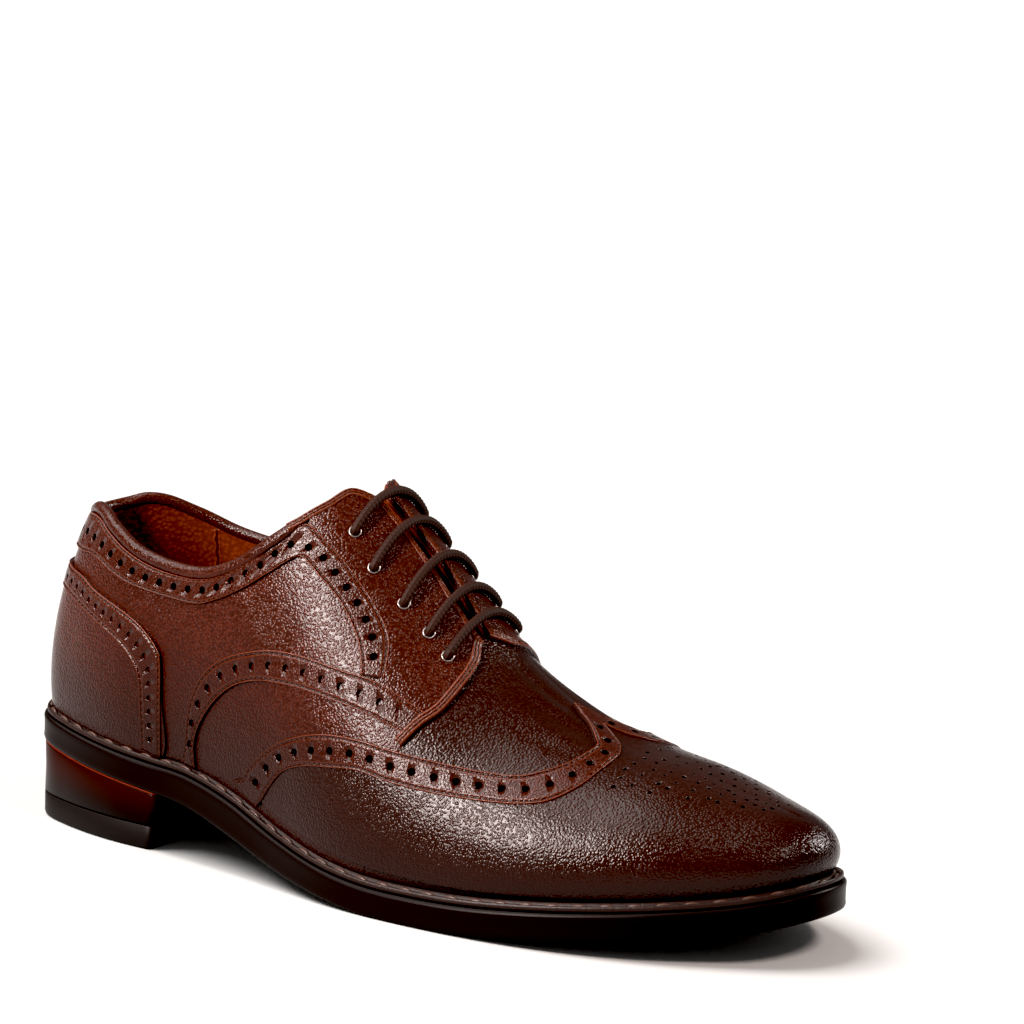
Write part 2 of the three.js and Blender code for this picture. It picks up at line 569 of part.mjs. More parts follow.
EYELETS_INNER.forEach((place, i) => addEyelet(`eyelet_inner_${i + 1}`, place, 1));

// Lace: one cord. Five bars cross the throat, and each runs down through its eyelet and on to the
// next inside the facing. Both of its ends stop inside.
const laceInside = -WALL - LACE / 2 - 0.7;
const laceOver = GAP + OVERLAY + LACE / 2 + 0.9;
const legHeights = [laceInside, -2, 0.2, 2.8];
const leg = (place, side) => legHeights.map((h) => lift(flat(place, side), h));
function bar(outer, inner) {
  const crossing = [0.16, 0.34, 0.5, 0.66, 0.84].map((f) => {
    const c = flat(outer, -1).lerp(flat(inner, 1), f);
    return lift(c, laceOver + 0.6 * Math.sin(Math.PI * f));
  });
  return [...leg(outer, -1), ...crossing, ...leg(inner, 1).reverse()];
}
const lacePoints = EYELETS_OUTER.flatMap((outer, i) => {
  const crossesIn = i % 2 === 0;
  const points = bar(outer, EYELETS_INNER[i]);
  if (!crossesIn) points.reverse();
  const [row, side] = crossesIn ? [EYELETS_INNER, 1] : [EYELETS_OUTER, -1];
  if (i === row.length - 1) return points;
  return [...points, lift(flat(row[i], side).lerp(flat(row[i + 1], side), 0.5), laceInside)];
});
const cord = new THREE.Shape(Array.from({ length: 5 }, (_, i) => {
  const turn = i / 5 * 2 * Math.PI;
  return new THREE.Vector2(Math.cos(turn), Math.sin(turn)).multiplyScalar(LACE / 2);
}));
const extrudePath = new THREE.CatmullRomCurve3(lacePoints, false, 'centripetal');
const laceBody = new THREE.ExtrudeGeometry(cord, { steps: 180, bevelEnabled: false, extrudePath });
add('lace', welded(laceBody, 1e-4), 0x24130f, 0.8);

// Stand the shoe on the floor with its middle over the origin.
const box = new THREE.Box3().setFromObject(group);
group.position.set(-(box.min.x + box.max.x) / 2, -(box.min.y + box.max.y) / 2, -box.min.z);
group.updateMatrixWorld(true);

export default group;
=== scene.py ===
# Right shoe of a pair of full-brogue derbies: red-brown calf on a stitched welt with a stacked heel.
# Sizes are millimetres from the heel's back on the centre line, +X to the toe and +Y to the inner
# side, until a mesh is made.
import math

import bmesh
import bpy
import numpy as np
from mathutils import Matrix, Vector


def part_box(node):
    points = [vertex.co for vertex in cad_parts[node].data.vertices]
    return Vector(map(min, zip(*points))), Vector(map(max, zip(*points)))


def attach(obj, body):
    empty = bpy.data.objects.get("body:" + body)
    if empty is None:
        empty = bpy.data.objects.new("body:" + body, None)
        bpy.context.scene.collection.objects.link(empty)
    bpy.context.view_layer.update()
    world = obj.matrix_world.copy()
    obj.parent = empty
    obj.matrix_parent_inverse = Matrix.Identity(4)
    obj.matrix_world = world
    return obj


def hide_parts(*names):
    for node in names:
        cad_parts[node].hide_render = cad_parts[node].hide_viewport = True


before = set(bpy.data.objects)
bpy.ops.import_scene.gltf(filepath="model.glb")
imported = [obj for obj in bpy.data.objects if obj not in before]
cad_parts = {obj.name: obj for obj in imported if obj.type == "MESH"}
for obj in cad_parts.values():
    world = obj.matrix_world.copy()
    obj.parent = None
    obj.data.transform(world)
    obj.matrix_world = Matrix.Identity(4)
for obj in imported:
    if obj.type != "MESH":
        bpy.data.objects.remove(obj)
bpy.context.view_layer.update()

# The studio: a plain pale floor that runs back out of sight under a dim sky. Daylight comes from a
# distant window, a tall softbox rakes the outer side, and small ones light the front and the back.
FLOOR_SIZE = 14.0
SKY_STRENGTH = 0.2
BLACK_LEVEL = 0.015


def linear(hex_colour):
    parts = [int(hex_colour[i:i + 2], 16) / 255 for i in (1, 3, 5)]
    return [c / 12.92 if c <= 0.04045 else ((c + 0.055) / 1.055) ** 2.4 for c in parts] + [1.0]


def new_material(name):
    material = bpy.data.materials.new(name)
    material.use_nodes = True
    material.node_tree.nodes.clear()
    return material


def add_node(material, kind, settings=None, **inputs):
    """A node with its settings, and for each input a value or another node's output."""
    tree = material.node_tree
    node = tree.nodes.new("ShaderNode" + kind)
    for key, value in (settings or {}).items():
        setattr(node, key, value)
    for key, value in inputs.items():
        label = key.replace("_", " ")
        socket = node.inputs[int(key[1:])] if key[1:].isdigit() else node.inputs[label]
        if isinstance(value, bpy.types.NodeSocket):
            tree.links.new(value, socket)
        else:
            socket.default_value = value
    return node


paper = new_material("pale studio paper")
paper_shader = add_node(paper, "BsdfPrincipled", Base_Color=linear("#F8F8F8"), Roughness=0.9,
                        Specular_IOR_Level=0.0)
add_node(paper, "OutputMaterial", Surface=paper_shader.outputs["BSDF"])
bpy.ops.object.select_all(action="DESELECT")
bpy.ops.mesh.primitive_plane_add(size=FLOOR_SIZE, location=(0, 0, 0))
floor = bpy.context.object
floor.name = "studio_floor"
floor.data.materials.append(paper)

world = bpy.data.worlds.new("studio")
world.use_nodes = True
world.node_tree.nodes["Background"].inputs["Color"].default_value = linear("#FFFDFB")
world.node_tree.nodes["Background"].inputs["Strength"].default_value = SKY_STRENGTH
bpy.context.scene.world = world
view = bpy.context.scene.view_settings
view.view_transform = "Standard"
view.use_curve_mapping = True
view.curve_mapping.black_level = (BLACK_LEVEL,) * 3
view.curve_mapping.update()

CAMERA_TARGET = Vector((0.0301, 0.00175, 0.1229))
CAMERA_AZIMUTH = 33.65
CAMERA_ELEVATION = 10.37
CAMERA_ROLL = 1.86
CAMERA_DISTANCE = 1.3
CAMERA_LENS = 146.36


def direction(azimuth, elevation):
    a, e = math.radians(azimuth), math.radians(elevation)
    return Vector((math.sin(a) * math.cos(e), -math.cos(a) * math.cos(e), math.sin(e)))


SOFTBOX_DISTANCE = 1.4
SOFTBOX_AIM = Vector((0, 0, 0.05))


def softbox(name, azimuth, elevation, width, height, power, colour):
    light = bpy.data.lights.new(name, "AREA")
    light.shape = "RECTANGLE"
    light.size, light.size_y = width, height
    light.energy = power
    light.color = linear(colour)[:3]
    lamp = bpy.data.objects.new(name, light)
    bpy.context.scene.collection.objects.link(lamp)
    back = direction(azimuth, elevation)
    lamp.location = back * SOFTBOX_DISTANCE + SOFTBOX_AIM
    lamp.rotation_mode = "QUATERNION"
    lamp.rotation_quaternion = back.to_track_quat("Z", "Y")
    return lamp


WINDOW_AZIMUTH = -75
WINDOW_ELEVATION = 58
WINDOW_WIDTH = 48
WINDOW_STRENGTH = 3.5
window_light = bpy.data.lights.new("distant window", "SUN")
window_light.energy = WINDOW_STRENGTH
window_light.angle = math.radians(WINDOW_WIDTH)
window_light.color = linear("#FFFBF8")[:3]
window = bpy.data.objects.new("distant window", window_light)
bpy.context.scene.collection.objects.link(window)
window.rotation_mode = "QUATERNION"
window.rotation_quaternion = direction(WINDOW_AZIMUTH, WINDOW_ELEVATION).to_track_quat("Z", "Y")
side_box = softbox(
    "side softbox", azimuth=-23, elevation=33, width=0.26, height=0.74, power=56, colour="#FFF1EC")
softbox("front softbox", azimuth=75, elevation=45, width=0.2, height=0.3, power=8, colour="#FFEDE4")
back_box = softbox(
    "back softbox", azimuth=136, elevation=30, width=0.24, height=0.5, power=20, colour="#FFF6F0")

# The side and back softboxes are kept off the floor, so that they cast no shadow on it.
off_the_floor = bpy.data.collections.new("kept off the floor")
off_the_floor.objects.link(floor)
off_the_floor.collection_objects[0].light_linking.link_state = "EXCLUDE"
side_box.light_linking.receiver_collection = off_the_floor
back_box.light_linking.receiver_collection = off_the_floor

camera = bpy.data.objects.new("camera", bpy.data.cameras.new("camera"))
camera.data.lens = CAMERA_LENS
back = direction(CAMERA_AZIMUTH, CAMERA_ELEVATION)
level = Vector((math.cos(math.radians(CAMERA_AZIMUTH)), math.sin(math.radians(CAMERA_AZIMUTH)), 0))
roll = math.radians(CAMERA_ROLL)
right = math.cos(roll) * level + math.sin(roll) * back.cross(level)
camera.matrix_world = Matrix.Translation(CAMERA_TARGET + CAMERA_DISTANCE * back) @ Matrix((
    right, back.cross(right), back)).transposed().to_4x4()
bpy.context.scene.collection.objects.link(camera)
bpy.context.scene.camera = camera

# The outsole: a leather plate cut to the outline of the foot, its edge inked black and polished
# with hot wax, with a fine bright line along its top corner. Arched at the waist, sprung at the toe.
LENGTH = 300.0
HEEL_EDGE = 3.5
TOE_EDGE = 5.5
UPPER_LIFT = 3.0
TREAD_FLAT = 0.1

# Per section: foot line outside and inside, lean of the walls out and in, where that lean is
# greatest, the ridge's x, y and z, half-width of its crown, and the sole's edge past the upper.
SECTIONS = np.array([
    (0, 0, 4.5, 4.5, 0.36, 36, 0, 125, 16, 3.5),
    (15, 17, 4.5, 4.5, 0.38, 38, 0, 126, 17, 3.5),
    (23, 26.8, 5, 5, 0.42, 44, 0, 129, 18.5, 3.4),
    (29, 30.6, 5, 6, 0.48, 57, 0, 133, 21, 3.2),
    (31.5, 28.6, 5, 8, 0.54, 82, 0, 136, 22, 3),
    (37.5, 24, 4, 11, 0.58, 113, 0.5, 137, 22, 3),
    (46, 24.5, 4, 10.5, 0.52, 148, 1, 109, 20.5, 3.4),
    (47.2, 33.8, 6, 8, 0.52, 186, 2.5, 74.5, 19, 4.2),
    (43.6, 43, 7, 7, 0.52, 220, 3.6, 56.5, 27, 4.8),
    (35.2, 39.5, 7.5, 7.5, 0.54, 247, 3.8, 50.5, 24.5, 5),
    (23.4, 29.5, 7.5, 7.5, 0.56, 267, 3.6, 45.5, 17, 5.2),
    (12.4, 16.5, 7.5, 7.5, 0.56, 280, 3.2, 43, 10.5, 5.4),
    (-3, 3, 7.5, 7.5, 0.56, 285.5, 3, 41.5, 5.5, 5.5),
])
OUTER, INNER, LEAN_OUT, LEAN_IN, BELLY, RIDGE_X, RIDGE_Y, RIDGE_Z, CROWN, EDGE = range(10)
TOE = len(SECTIONS) - 1

# The sole's side view: place along it, height of its top edge, and thickness there.
SOLE_PROFILE = np.array([
    (0, 35.8, 9), (30, 32.2, 9), (62, 29, 9.2), (80, 27.7, 10.2), (100, 23.2, 11), (120, 16.4, 10.2),
    (140, 11.8, 9.3), (160, 9.3, 9.1), (180, 9, 9.1), (200, 9.7, 9), (220, 11.4, 9), (240, 13.5, 9),
    (260, 15.9, 9), (280, 18.8, 9), (300, 23.6, 9),
])


def smooth_between(stops, values, slopes, at):
    i = np.clip(np.searchsorted(stops, at, side="right") - 1, 0, len(stops) - 2)
    span = stops[i + 1] - stops[i]
    f = (at - stops[i]) / span
    f2, f3 = f * f, f * f * f
    start = (2 * f3 - 3 * f2 + 1) * values[i] + (f3 - 2 * f2 + f) * span * slopes[i]
    return start + (3 * f2 - 2 * f3) * values[i + 1] + (f3 - f2) * span * slopes[i + 1]


def section_curve(values, at, before=None, after=None):
    before = 2 * values[0] - values[1] if before is None else before
    after = 2 * values[-1] - values[-2] if after is None else after
    wide = np.concatenate([[before], values, [after]])
    return smooth_between(np.arange(len(values)), values, (wide[2:] - wide[:-2]) / 2, at)


def sole_curve(column, x):
    stops, values = SOLE_PROFILE[:, 0], SOLE_PROFILE[:, column]
    i = np.arange(len(stops))
    a, b = np.maximum(i - 1, 0), np.minimum(i + 1, len(stops) - 1)
    slopes = (values[b] - values[a]) / (stops[b] - stops[a])
    return smooth_between(stops, values, slopes, np.clip(x, stops[0], stops[-1]))


def sole_top(x):
    return sole_curve(1, x)


def sole_under(x):
    return np.maximum(0, sole_curve(1, x) - sole_curve(2, x) - TREAD_FLAT)


def foot_line(u, side):
    outer, inner = SECTIONS[:, OUTER], SECTIONS[:, INNER]
    y_outer = -section_curve(outer, u * TOE, -inner[1], -inner[-2])
    y_inner = section_curve(inner, u * TOE, -outer[1], -outer[-2])
    x = HEEL_EDGE + (LENGTH - HEEL_EDGE - TOE_EDGE) * (1 - np.cos(np.pi * u)) / 2
    return x, np.where(side < 0, y_outer, y_inner)


def outline(u, side, out):
    """The foot line moved outward by a distance."""
    x, y = foot_line(u, side)
    ax, ay = foot_line(np.maximum(0, u - 1e-4), side)
    bx, by = foot_line(np.minimum(1, u + 1e-4), side)
    run = np.hypot(bx - ax, by - ay)
    at_heel, at_toe = u < 1e-6, u > 1 - 1e-6
    new_x = np.where(at_heel, x - out, np.where(at_toe, x + out, x - side * (by - ay) / run * out))
    new_y = np.where(at_heel, 0, np.where(at_toe, y, y + side * (bx - ax) / run * out))
    return new_x, new_y


def edge_width(u):
    return section_curve(SECTIONS[:, EDGE], u * TOE)


# The whole shoe's frame is centred on its box, so the middle of the outsole's box is the shift.
stops = np.linspace(0, 1, 37)
sole_sides = [outline(stops, side, edge_width(stops))[1] for side in (-1.0, 1.0)]
low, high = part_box("outsole")
SHIFT = np.array([
    (low[0] + high[0]) * 500 - LENGTH / 2,
    (low[1] + high[1]) * 500 - (sole_sides[0].min() + sole_sides[1].max()) / 2,
    0,
])


def make_piece(name, points, faces, nodes=(), uv=None, material=None, merge=0.02,
               loose=False, wear_and_painted_light=None):
    """A smooth closed mesh from points in millimetres, riding on the shoe."""
    mesh = bpy.data.meshes.new(name)
    mesh.from_pydata((np.asarray(points).reshape(-1, 3) + SHIFT) / 1000, [], faces)
    if uv is not None:
        layer = mesh.uv_layers.new(name="last")
        corners = np.empty(len(mesh.loops), dtype=np.int32)
        mesh.loops.foreach_get("vertex_index", corners)
        layer.data.foreach_set("uv", np.asarray(uv, dtype=np.float32).reshape(-1, 2)[corners].ravel())
    if wear_and_painted_light is not None:
        mesh.attributes.new("wear_and_painted_light", "FLOAT", "POINT").data.foreach_set("value", np.ravel(wear_and_painted_light))
    bm = bmesh.new()
    bm.from_mesh(mesh)
    if not loose:
        bmesh.ops.remove_doubles(bm, verts=bm.verts, dist=merge / 1000)
        bmesh.ops.dissolve_degenerate(bm, edges=bm.edges, dist=merge / 4000)
    bmesh.ops.recalc_face_normals(bm, faces=bm.faces)
    bm.to_mesh(mesh)
    bm.free()
    mesh.polygons.foreach_set("use_smooth", [True] * len(mesh.polygons))
    obj = bpy.data.objects.new(name, mesh)
    bpy.context.scene.collection.objects.link(obj)
    if material:
        mesh.materials.append(material)
    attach(obj, "root")
    if nodes:
        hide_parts(*nodes)
    return obj


def grid_faces(rows, columns, start=0, around=False):
    faces = []
    for i in range(rows - 1):
        for j in range(columns if around else columns - 1):
            k = (j + 1) % columns
            a, b = start + i * columns, start + (i + 1) * columns
            faces.append((a + j, b + j, b + k, a + k))
    return faces


def apply_modifier(obj, kind, **settings):
    modifier = obj.modifiers.new(kind, kind)
    for key, value in settings.items():
        setattr(modifier, key, value)
    bpy.ops.object.select_all(action="DESELECT")
    bpy.context.view_layer.objects.active = obj
    obj.select_set(True)
    bpy.ops.object.modifier_apply(modifier=modifier.name)


def plate_ring(u, cross_section):
    """Loops round a plate's section at each stop: a list of (share across, distance out, height)."""
    loops = []
    for share, out, height in cross_section:
        side = np.where(np.full_like(u, share) < 0, -1.0, 1.0)
        x, y = outline(u, side, out(u) if callable(out) else np.full_like(u, out))
        middle = (outline(u, -1.0, 0)[1] + outline(u, 1.0, 0)[1]) / 2
        y = middle + (y - middle) * abs(share)
        loops.append(np.stack([x, y, height(x)], -1))
    return np.stack(loops, 1)


across = [-1, -0.8, -0.5, -0.2, 0.2, 0.5, 0.8, 1]


def from_edge(distance):
    return lambda u: edge_width(u) - distance


def above(height_line, up):
    return lambda x: height_line(x) + up


edge_profile = [
    (0.3, above(sole_under, 0.35)), (0, above(sole_under, 1.2)), (0.15, above(sole_under, 2.5)),
    (0.15, above(sole_top, -3)), (0, above(sole_top, -1.3)), (0.15, above(sole_top, -0.8)),
    (0.7, above(sole_top, -0.1)),
]
sole_section = [(share, from_edge(1.2), sole_under) for share in across]
sole_section += [(1, from_edge(d), z) for d, z in edge_profile]
sole_section += [(share, from_edge(1.1), sole_top) for share in across[::-1]]
sole_section += [(-1, from_edge(d), z) for d, z in edge_profile[::-1]]
sole_points = plate_ring(np.linspace(0, 1, 181), sole_section)
rows, columns = sole_points.shape[:2]


def per_metre(size):
    """How often a pattern repeats in a metre, from its real size in millimetres."""
    return 1000 / size


# Sole leather, inked and burnished with hot wax: near black, with a soft sheen and faint streaks.
SOLE_BLACK = "#0C0605"
SOLE_STREAK = 16.7
inked_edge = new_material("inked and waxed sole leather")
edge_place = add_node(inked_edge, "TexCoord")
edge_noise = add_node(
    inked_edge, "TexNoise", Vector=edge_place.outputs["Object"], Scale=per_metre(SOLE_STREAK), Detail=4.0)
edge_streak = add_node(
    inked_edge, "Bump", Height=edge_noise.outputs["Fac"], Strength=0.15, Distance=0.0003)
edge_shader = add_node(
    inked_edge, "BsdfPrincipled", Base_Color=linear(SOLE_BLACK), Roughness=0.36,
    Specular_IOR_Level=0.06, Normal=edge_streak.outputs["Normal"])
add_node(inked_edge, "OutputMaterial", Surface=edge_shader.outputs["BSDF"])
make_piece(
    "outsole_edge", sole_points, grid_faces(rows, columns, around=True),
    ["outsole"], material=inked_edge)

# The welt: a strip of leather all round between upper and outsole. A heavy waxed thread runs in a
# channel along it, and the hot wheel has left its edges rounded.
WELT_LOW = 0.3
WELT_HEIGHT = 2.3
WELT_TOP = WELT_LOW + WELT_HEIGHT
WELT_INNER = -6.0


def sweep_round(section, count):
    """A strip all round the foot, from pairs of height and distance in from the sole's edge.

    The distance comes first, and WELT_INNER is measured from the foot line instead.
    """
    u = np.concatenate([np.linspace(0, 1, count), np.linspace(1, 0, count)[1:-1]])
    side = np.concatenate([-np.ones(count), np.ones(count - 2)])
    loops = []
    for inset, up in section:
        under_upper = inset == WELT_INNER
        out = np.full_like(u, inset) if under_upper else edge_width(u) - inset
        x, y = outline(u, side, out)
        loops.append(np.stack([x, y, sole_top(x) + up], -1))
    return np.stack(loops, 1)


def ring_faces(rows, columns):
    return [(i * columns + j, (i + 1) % rows * columns + j,
             (i + 1) % rows * columns + (j + 1) % columns, i * columns + (j + 1) % columns)
            for i in range(rows) for j in range(columns)]


# Welt leather, dyed dark and left unpolished: fibrous and dull, which sets off the thread.
WELT_FIBRE = 1.1
welt_leather = new_material("dark welt leather")
welt_place = add_node(welt_leather, "TexCoord")
welt_noise = add_node(
    welt_leather, "TexNoise", Vector=welt_place.outputs["Object"], Scale=per_metre(WELT_FIBRE), Detail=3.0)
welt_rough = add_node(
    welt_leather, "Bump", Height=welt_noise.outputs["Fac"], Strength=0.5, Distance=0.0003)
welt_shader = add_node(
    welt_leather, "BsdfPrincipled", Base_Color=linear("#1C100D"), Roughness=0.4,
    Specular_IOR_Level=0.15, Normal=welt_rough.outputs["Normal"])
add_node(welt_leather, "OutputMaterial", Surface=welt_shader.outputs["BSDF"])

welt_section = [
    (WELT_INNER, WELT_LOW), (1.4, WELT_LOW), (1.1, WELT_LOW + 0.3), (1.0, 1.3), (1.15, 1.9), (1.5, 2.2),
    (1.9, 2.0), (2.3, 1.55), (2.9, 1.5), (3.3, 2.0), (3.7, 2.6), (4.2, 2.75), (4.9, 2.6),
    (WELT_INNER, WELT_TOP - 0.2),
]
welt_points = sweep_round(welt_section, 221)
make_piece(
    "welt_strip", welt_points, ring_faces(*welt_points.shape[:2]), ["welt"],
    material=welt_leather)

# The welt's stitches: long, high loops of thick waxed thread, each dipping into its holes.
WELT_STITCH = 8.6
WELT_STITCH_LENGTH = 6.6
WELT_THREAD = 1.35
WELT_CHANNEL = (2.5, 1.95)


def stitch_meshes(centres, alongs, normals, length, thickness, dip, sides=6):
    """Points and faces of one arched stitch at each centre."""
    stops = np.array([-1.0, -0.8, -0.4, 0.0, 0.4, 0.8, 1.0])
    radius = thickness / 2 * np.array([0.25, 0.75, 1.0, 1.05, 1.0, 0.75, 0.25])
    turns = np.linspace(0, 2 * np.pi, sides, endpoint=False)
    beside = np.cross(normals, alongs)
    middle = centres[:, None] + alongs[:, None] * (stops * length / 2)[:, None]
    middle = middle - normals[:, None] * (dip * stops ** 2)[:, None]
    round_it = (beside[:, None, None] * np.cos(turns)[:, None]
                + normals[:, None, None] * np.sin(turns)[:, None])
    points = middle[:, :, None] + round_it * radius[:, None, None]
    count = len(stops) * sides
    one = grid_faces(len(stops), sides, around=True)
    one += [tuple(range(sides)), tuple(range(count - 1, count - 1 - sides, -1))]
    faces = [tuple(n * count + i for i in face) for n in range(len(centres)) for face in one]
    return points.reshape(-1, 3), faces


def along_path(points, pitch, start=0.5):
    """Places a pitch apart on a path of points, with the direction of the path there."""
    steps = np.linalg.norm(np.diff(points, axis=0), axis=1)
    run = np.concatenate([[0], np.cumsum(steps)])
    count = max(1, int(run[-1] / pitch))
    at = (np.arange(count) + start) * run[-1] / count
    here = np.stack([np.interp(at, run, points[:, i]) for i in range(points.shape[1])], -1)
    ahead = np.stack([np.interp(at + 0.2, run, points[:, i]) for i in range(points.shape[1])], -1)
    behind = np.stack([np.interp(at - 0.2, run, points[:, i]) for i in range(points.shape[1])], -1)
    direction_there = ahead - behind
    return here, direction_there / np.linalg.norm(direction_there, axis=1, keepdims=True)


# Linen thread drawn through wax: brown and slightly glossy, with the twist felt as a fine roughness.
THREAD_TWIST = 0.67
waxed_thread = new_material("waxed linen thread")
thread_place = add_node(waxed_thread, "TexCoord")
thread_twist = add_node(
    waxed_thread, "TexNoise", Vector=thread_place.outputs["Object"], Scale=per_metre(THREAD_TWIST),
    Detail=2.0)
thread_bump = add_node(
    waxed_thread, "Bump", Height=thread_twist.outputs["Fac"], Strength=0.5, Distance=0.0002)
thread_shader = add_node(
    waxed_thread, "BsdfPrincipled", Base_Color=linear("#3C2A24"), Roughness=0.35,
    Specular_IOR_Level=0.2, Normal=thread_bump.outputs["Normal"])
add_node(waxed_thread, "OutputMaterial", Surface=thread_shader.outputs["BSDF"])

channel = sweep_round([WELT_CHANNEL], 401)[:, 0]
channel = np.concatenate([channel, channel[:1]])
centres, alongs = along_path(channel, WELT_STITCH)
up = np.cross(np.cross(alongs, [0, 0, 1.0]), alongs)
points, faces = stitch_meshes(centres, alongs, up, WELT_STITCH_LENGTH, WELT_THREAD, 0.8, sides=8)
make_piece("welt_stitches", points, faces, material=waxed_thread)

# The heel: lifts of leather stacked and pegged, sanded flush, dyed dark red and polished, over a
# black rubber top piece. Its front is slightly hollow.
HEEL_BREAST = 66.5
BREAST_LEAN = 2.0
BREAST_HOLLOW = 1.2
HEEL_SET_IN = 0.6
TOP_PIECE = 8.0
HEEL_CORNER = 2.0
LIFT = 9.8
WAVES_PER_SCALE = 10 / math.pi


def heel_ring(inset, lean, height, count=60):
    """Round the heel at one level, its front corners rounded and its front hollowed."""
    front = HEEL_BREAST - lean - inset
    u = np.linspace(0, 0.6, 3000)
    sides = []
    for side in (-1.0, 1.0):
        x, y = outline(u, side, edge_width(u) - HEEL_SET_IN - inset)
        inside = x <= front - HEEL_CORNER
        run = np.concatenate([[0], np.cumsum(np.hypot(np.diff(x[inside]), np.diff(y[inside])))])
        even = np.linspace(0, run[-1], count)
        sides.append(np.stack([np.interp(even, run, x[inside]), np.interp(even, run, y[inside])], -1))
    outer, inner = sides
    turn = np.linspace(0, np.pi / 2, 6)[1:]
    round_outer = outer[-1] + HEEL_CORNER * np.stack([np.sin(turn), 1 - np.cos(turn)], -1)
    round_inner = inner[-1] + HEEL_CORNER * np.stack([np.sin(turn), np.cos(turn) - 1], -1)
    across = np.linspace(0, 1, 14)[1:-1, None]
    breast = round_outer[-1] + (round_inner[-1] - round_outer[-1]) * across
    breast[:, 0] -= BREAST_HOLLOW * 4 * (across * (1 - across))[:, 0]
    ring = np.concatenate([outer, round_outer, breast, round_inner[::-1], inner[::-1][:-1]])
    return np.column_stack([ring, height(ring[:, 0])])


def ring_stack(name, rings, nodes, material):
    points = np.stack(rings, 0)
    rows, columns = points.shape[:2]
    faces = grid_faces(rows, columns, around=True)
    faces += [tuple(range(columns))[::-1], tuple(range((rows - 1) * columns, rows * columns))]
    return make_piece(name, points, faces, nodes, material=material)


# Stacked leather, dyed, sanded and waxed: dark red above, darker below, the lifts just seen.
heel_polish = new_material("polished stacked heel leather")
heel_place = add_node(heel_polish, "TexCoord")
heel_split = add_node(heel_polish, "SeparateXYZ", Vector=heel_place.outputs["Object"])
heel_fade = add_node(
    heel_polish, "MapRange", {"interpolation_type": "SMOOTHSTEP"}, Value=heel_split.outputs["Z"],
    From_Min=0.007, From_Max=0.021)
heel_colour = add_node(
    heel_polish, "Mix", {"data_type": "RGBA"}, Factor=heel_fade.outputs["Result"],
    i6=linear("#080403"), i7=linear("#1E0805"))
heel_lifts = add_node(
    heel_polish, "TexWave", {"bands_direction": "Z", "wave_profile": "SAW"},
    Vector=heel_place.outputs["Object"], Scale=per_metre(LIFT) / WAVES_PER_SCALE, Distortion=0.3,
    Detail=2.0)
heel_bump = add_node(
    heel_polish, "Bump", Height=heel_lifts.outputs["Fac"], Strength=0.06, Distance=0.0002)
heel_shader = add_node(
    heel_polish, "BsdfPrincipled", Base_Color=heel_colour.outputs[2], Roughness=0.3,
    Specular_IOR_Level=0.05, Normal=heel_bump.outputs["Normal"])
add_node(heel_polish, "OutputMaterial", Surface=heel_shader.outputs["BSDF"])

# Moulded rubber: flat black with a fine grit, nearly without gloss.
RUBBER_GRIT = 1.4
heel_rubber = new_material("black heel rubber")
rubber_place = add_node(heel_rubber, "TexCoord")
rubber_noise = add_node(
    heel_rubber, "TexNoise", Vector=rubber_place.outputs["Object"], Scale=per_metre(RUBBER_GRIT))
rubber_bump = add_node(
    heel_rubber, "Bump", Height=rubber_noise.outputs["Fac"], Strength=0.2, Distance=0.0002)
rubber_shader = add_node(
    heel_rubber, "BsdfPrincipled", Base_Color=linear("#0B0706"), Roughness=0.5,
    Specular_IOR_Level=0.1, Normal=rubber_bump.outputs["Normal"])
add_node(heel_rubber, "OutputMaterial", Surface=rubber_shader.outputs["BSDF"])


def level_at(z):
    return lambda x: np.full_like(x, z)


slope = BREAST_LEAN * 0.7
ring_stack("heel_lifts", [
    heel_ring(0.3, slope, level_at(TOP_PIECE + 0.3)),
    heel_ring(0, slope, level_at(TOP_PIECE + 0.6)),
    heel_ring(0.25, slope * 0.4, lambda x: (sole_under(x) + TOP_PIECE) / 2),
    heel_ring(0, 0, lambda x: sole_under(x) - 1.0),
    heel_ring(0.4, 0, lambda x: sole_under(x) - 0.3),
], ["heel_stack"], heel_polish)
ring_stack("heel_tread", [
    heel_ring(1.0, BREAST_LEAN, level_at(0.0)),
    heel_ring(0.3, BREAST_LEAN, level_at(0.3)),
    heel_ring(0, BREAST_LEAN, level_at(1.0)),
    heel_ring(0, slope, level_at(TOP_PIECE - 0.3)),
    heel_ring(0.3, slope, level_at(TOP_PIECE)),
], ["heel_top_piece"], heel_rubber)
# The rand: a thin strip of leather between seat and lifts, left its own brighter red.
red_line = new_material("red heel rand")
rand_shader = add_node(
    red_line, "BsdfPrincipled", Base_Color=linear("#5A1C0C"), Roughness=0.4, Specular_IOR_Level=0.1)
add_node(red_line, "OutputMaterial", Surface=rand_shader.outputs["BSDF"])
ring_stack("heel_rand", [
    heel_ring(0.2, 0, lambda x: sole_under(x) - 0.5),
    heel_ring(-0.1, 0, lambda x: sole_under(x) - 0.25),
    heel_ring(0.2, 0, sole_under),
], [], red_line)

# The upper: calf sewn from quarters and vamp, pulled over the last and closed under the welt.
# A place on it is a pair: section 0 to 12 from heel to toe, and share across from the outer side
# of the sole (-1) over the ridge (0) to the inner side (1).
WALL = 2.4
OVERLAY_TOP = 0.8
OVERLAY_UNDER = -0.1


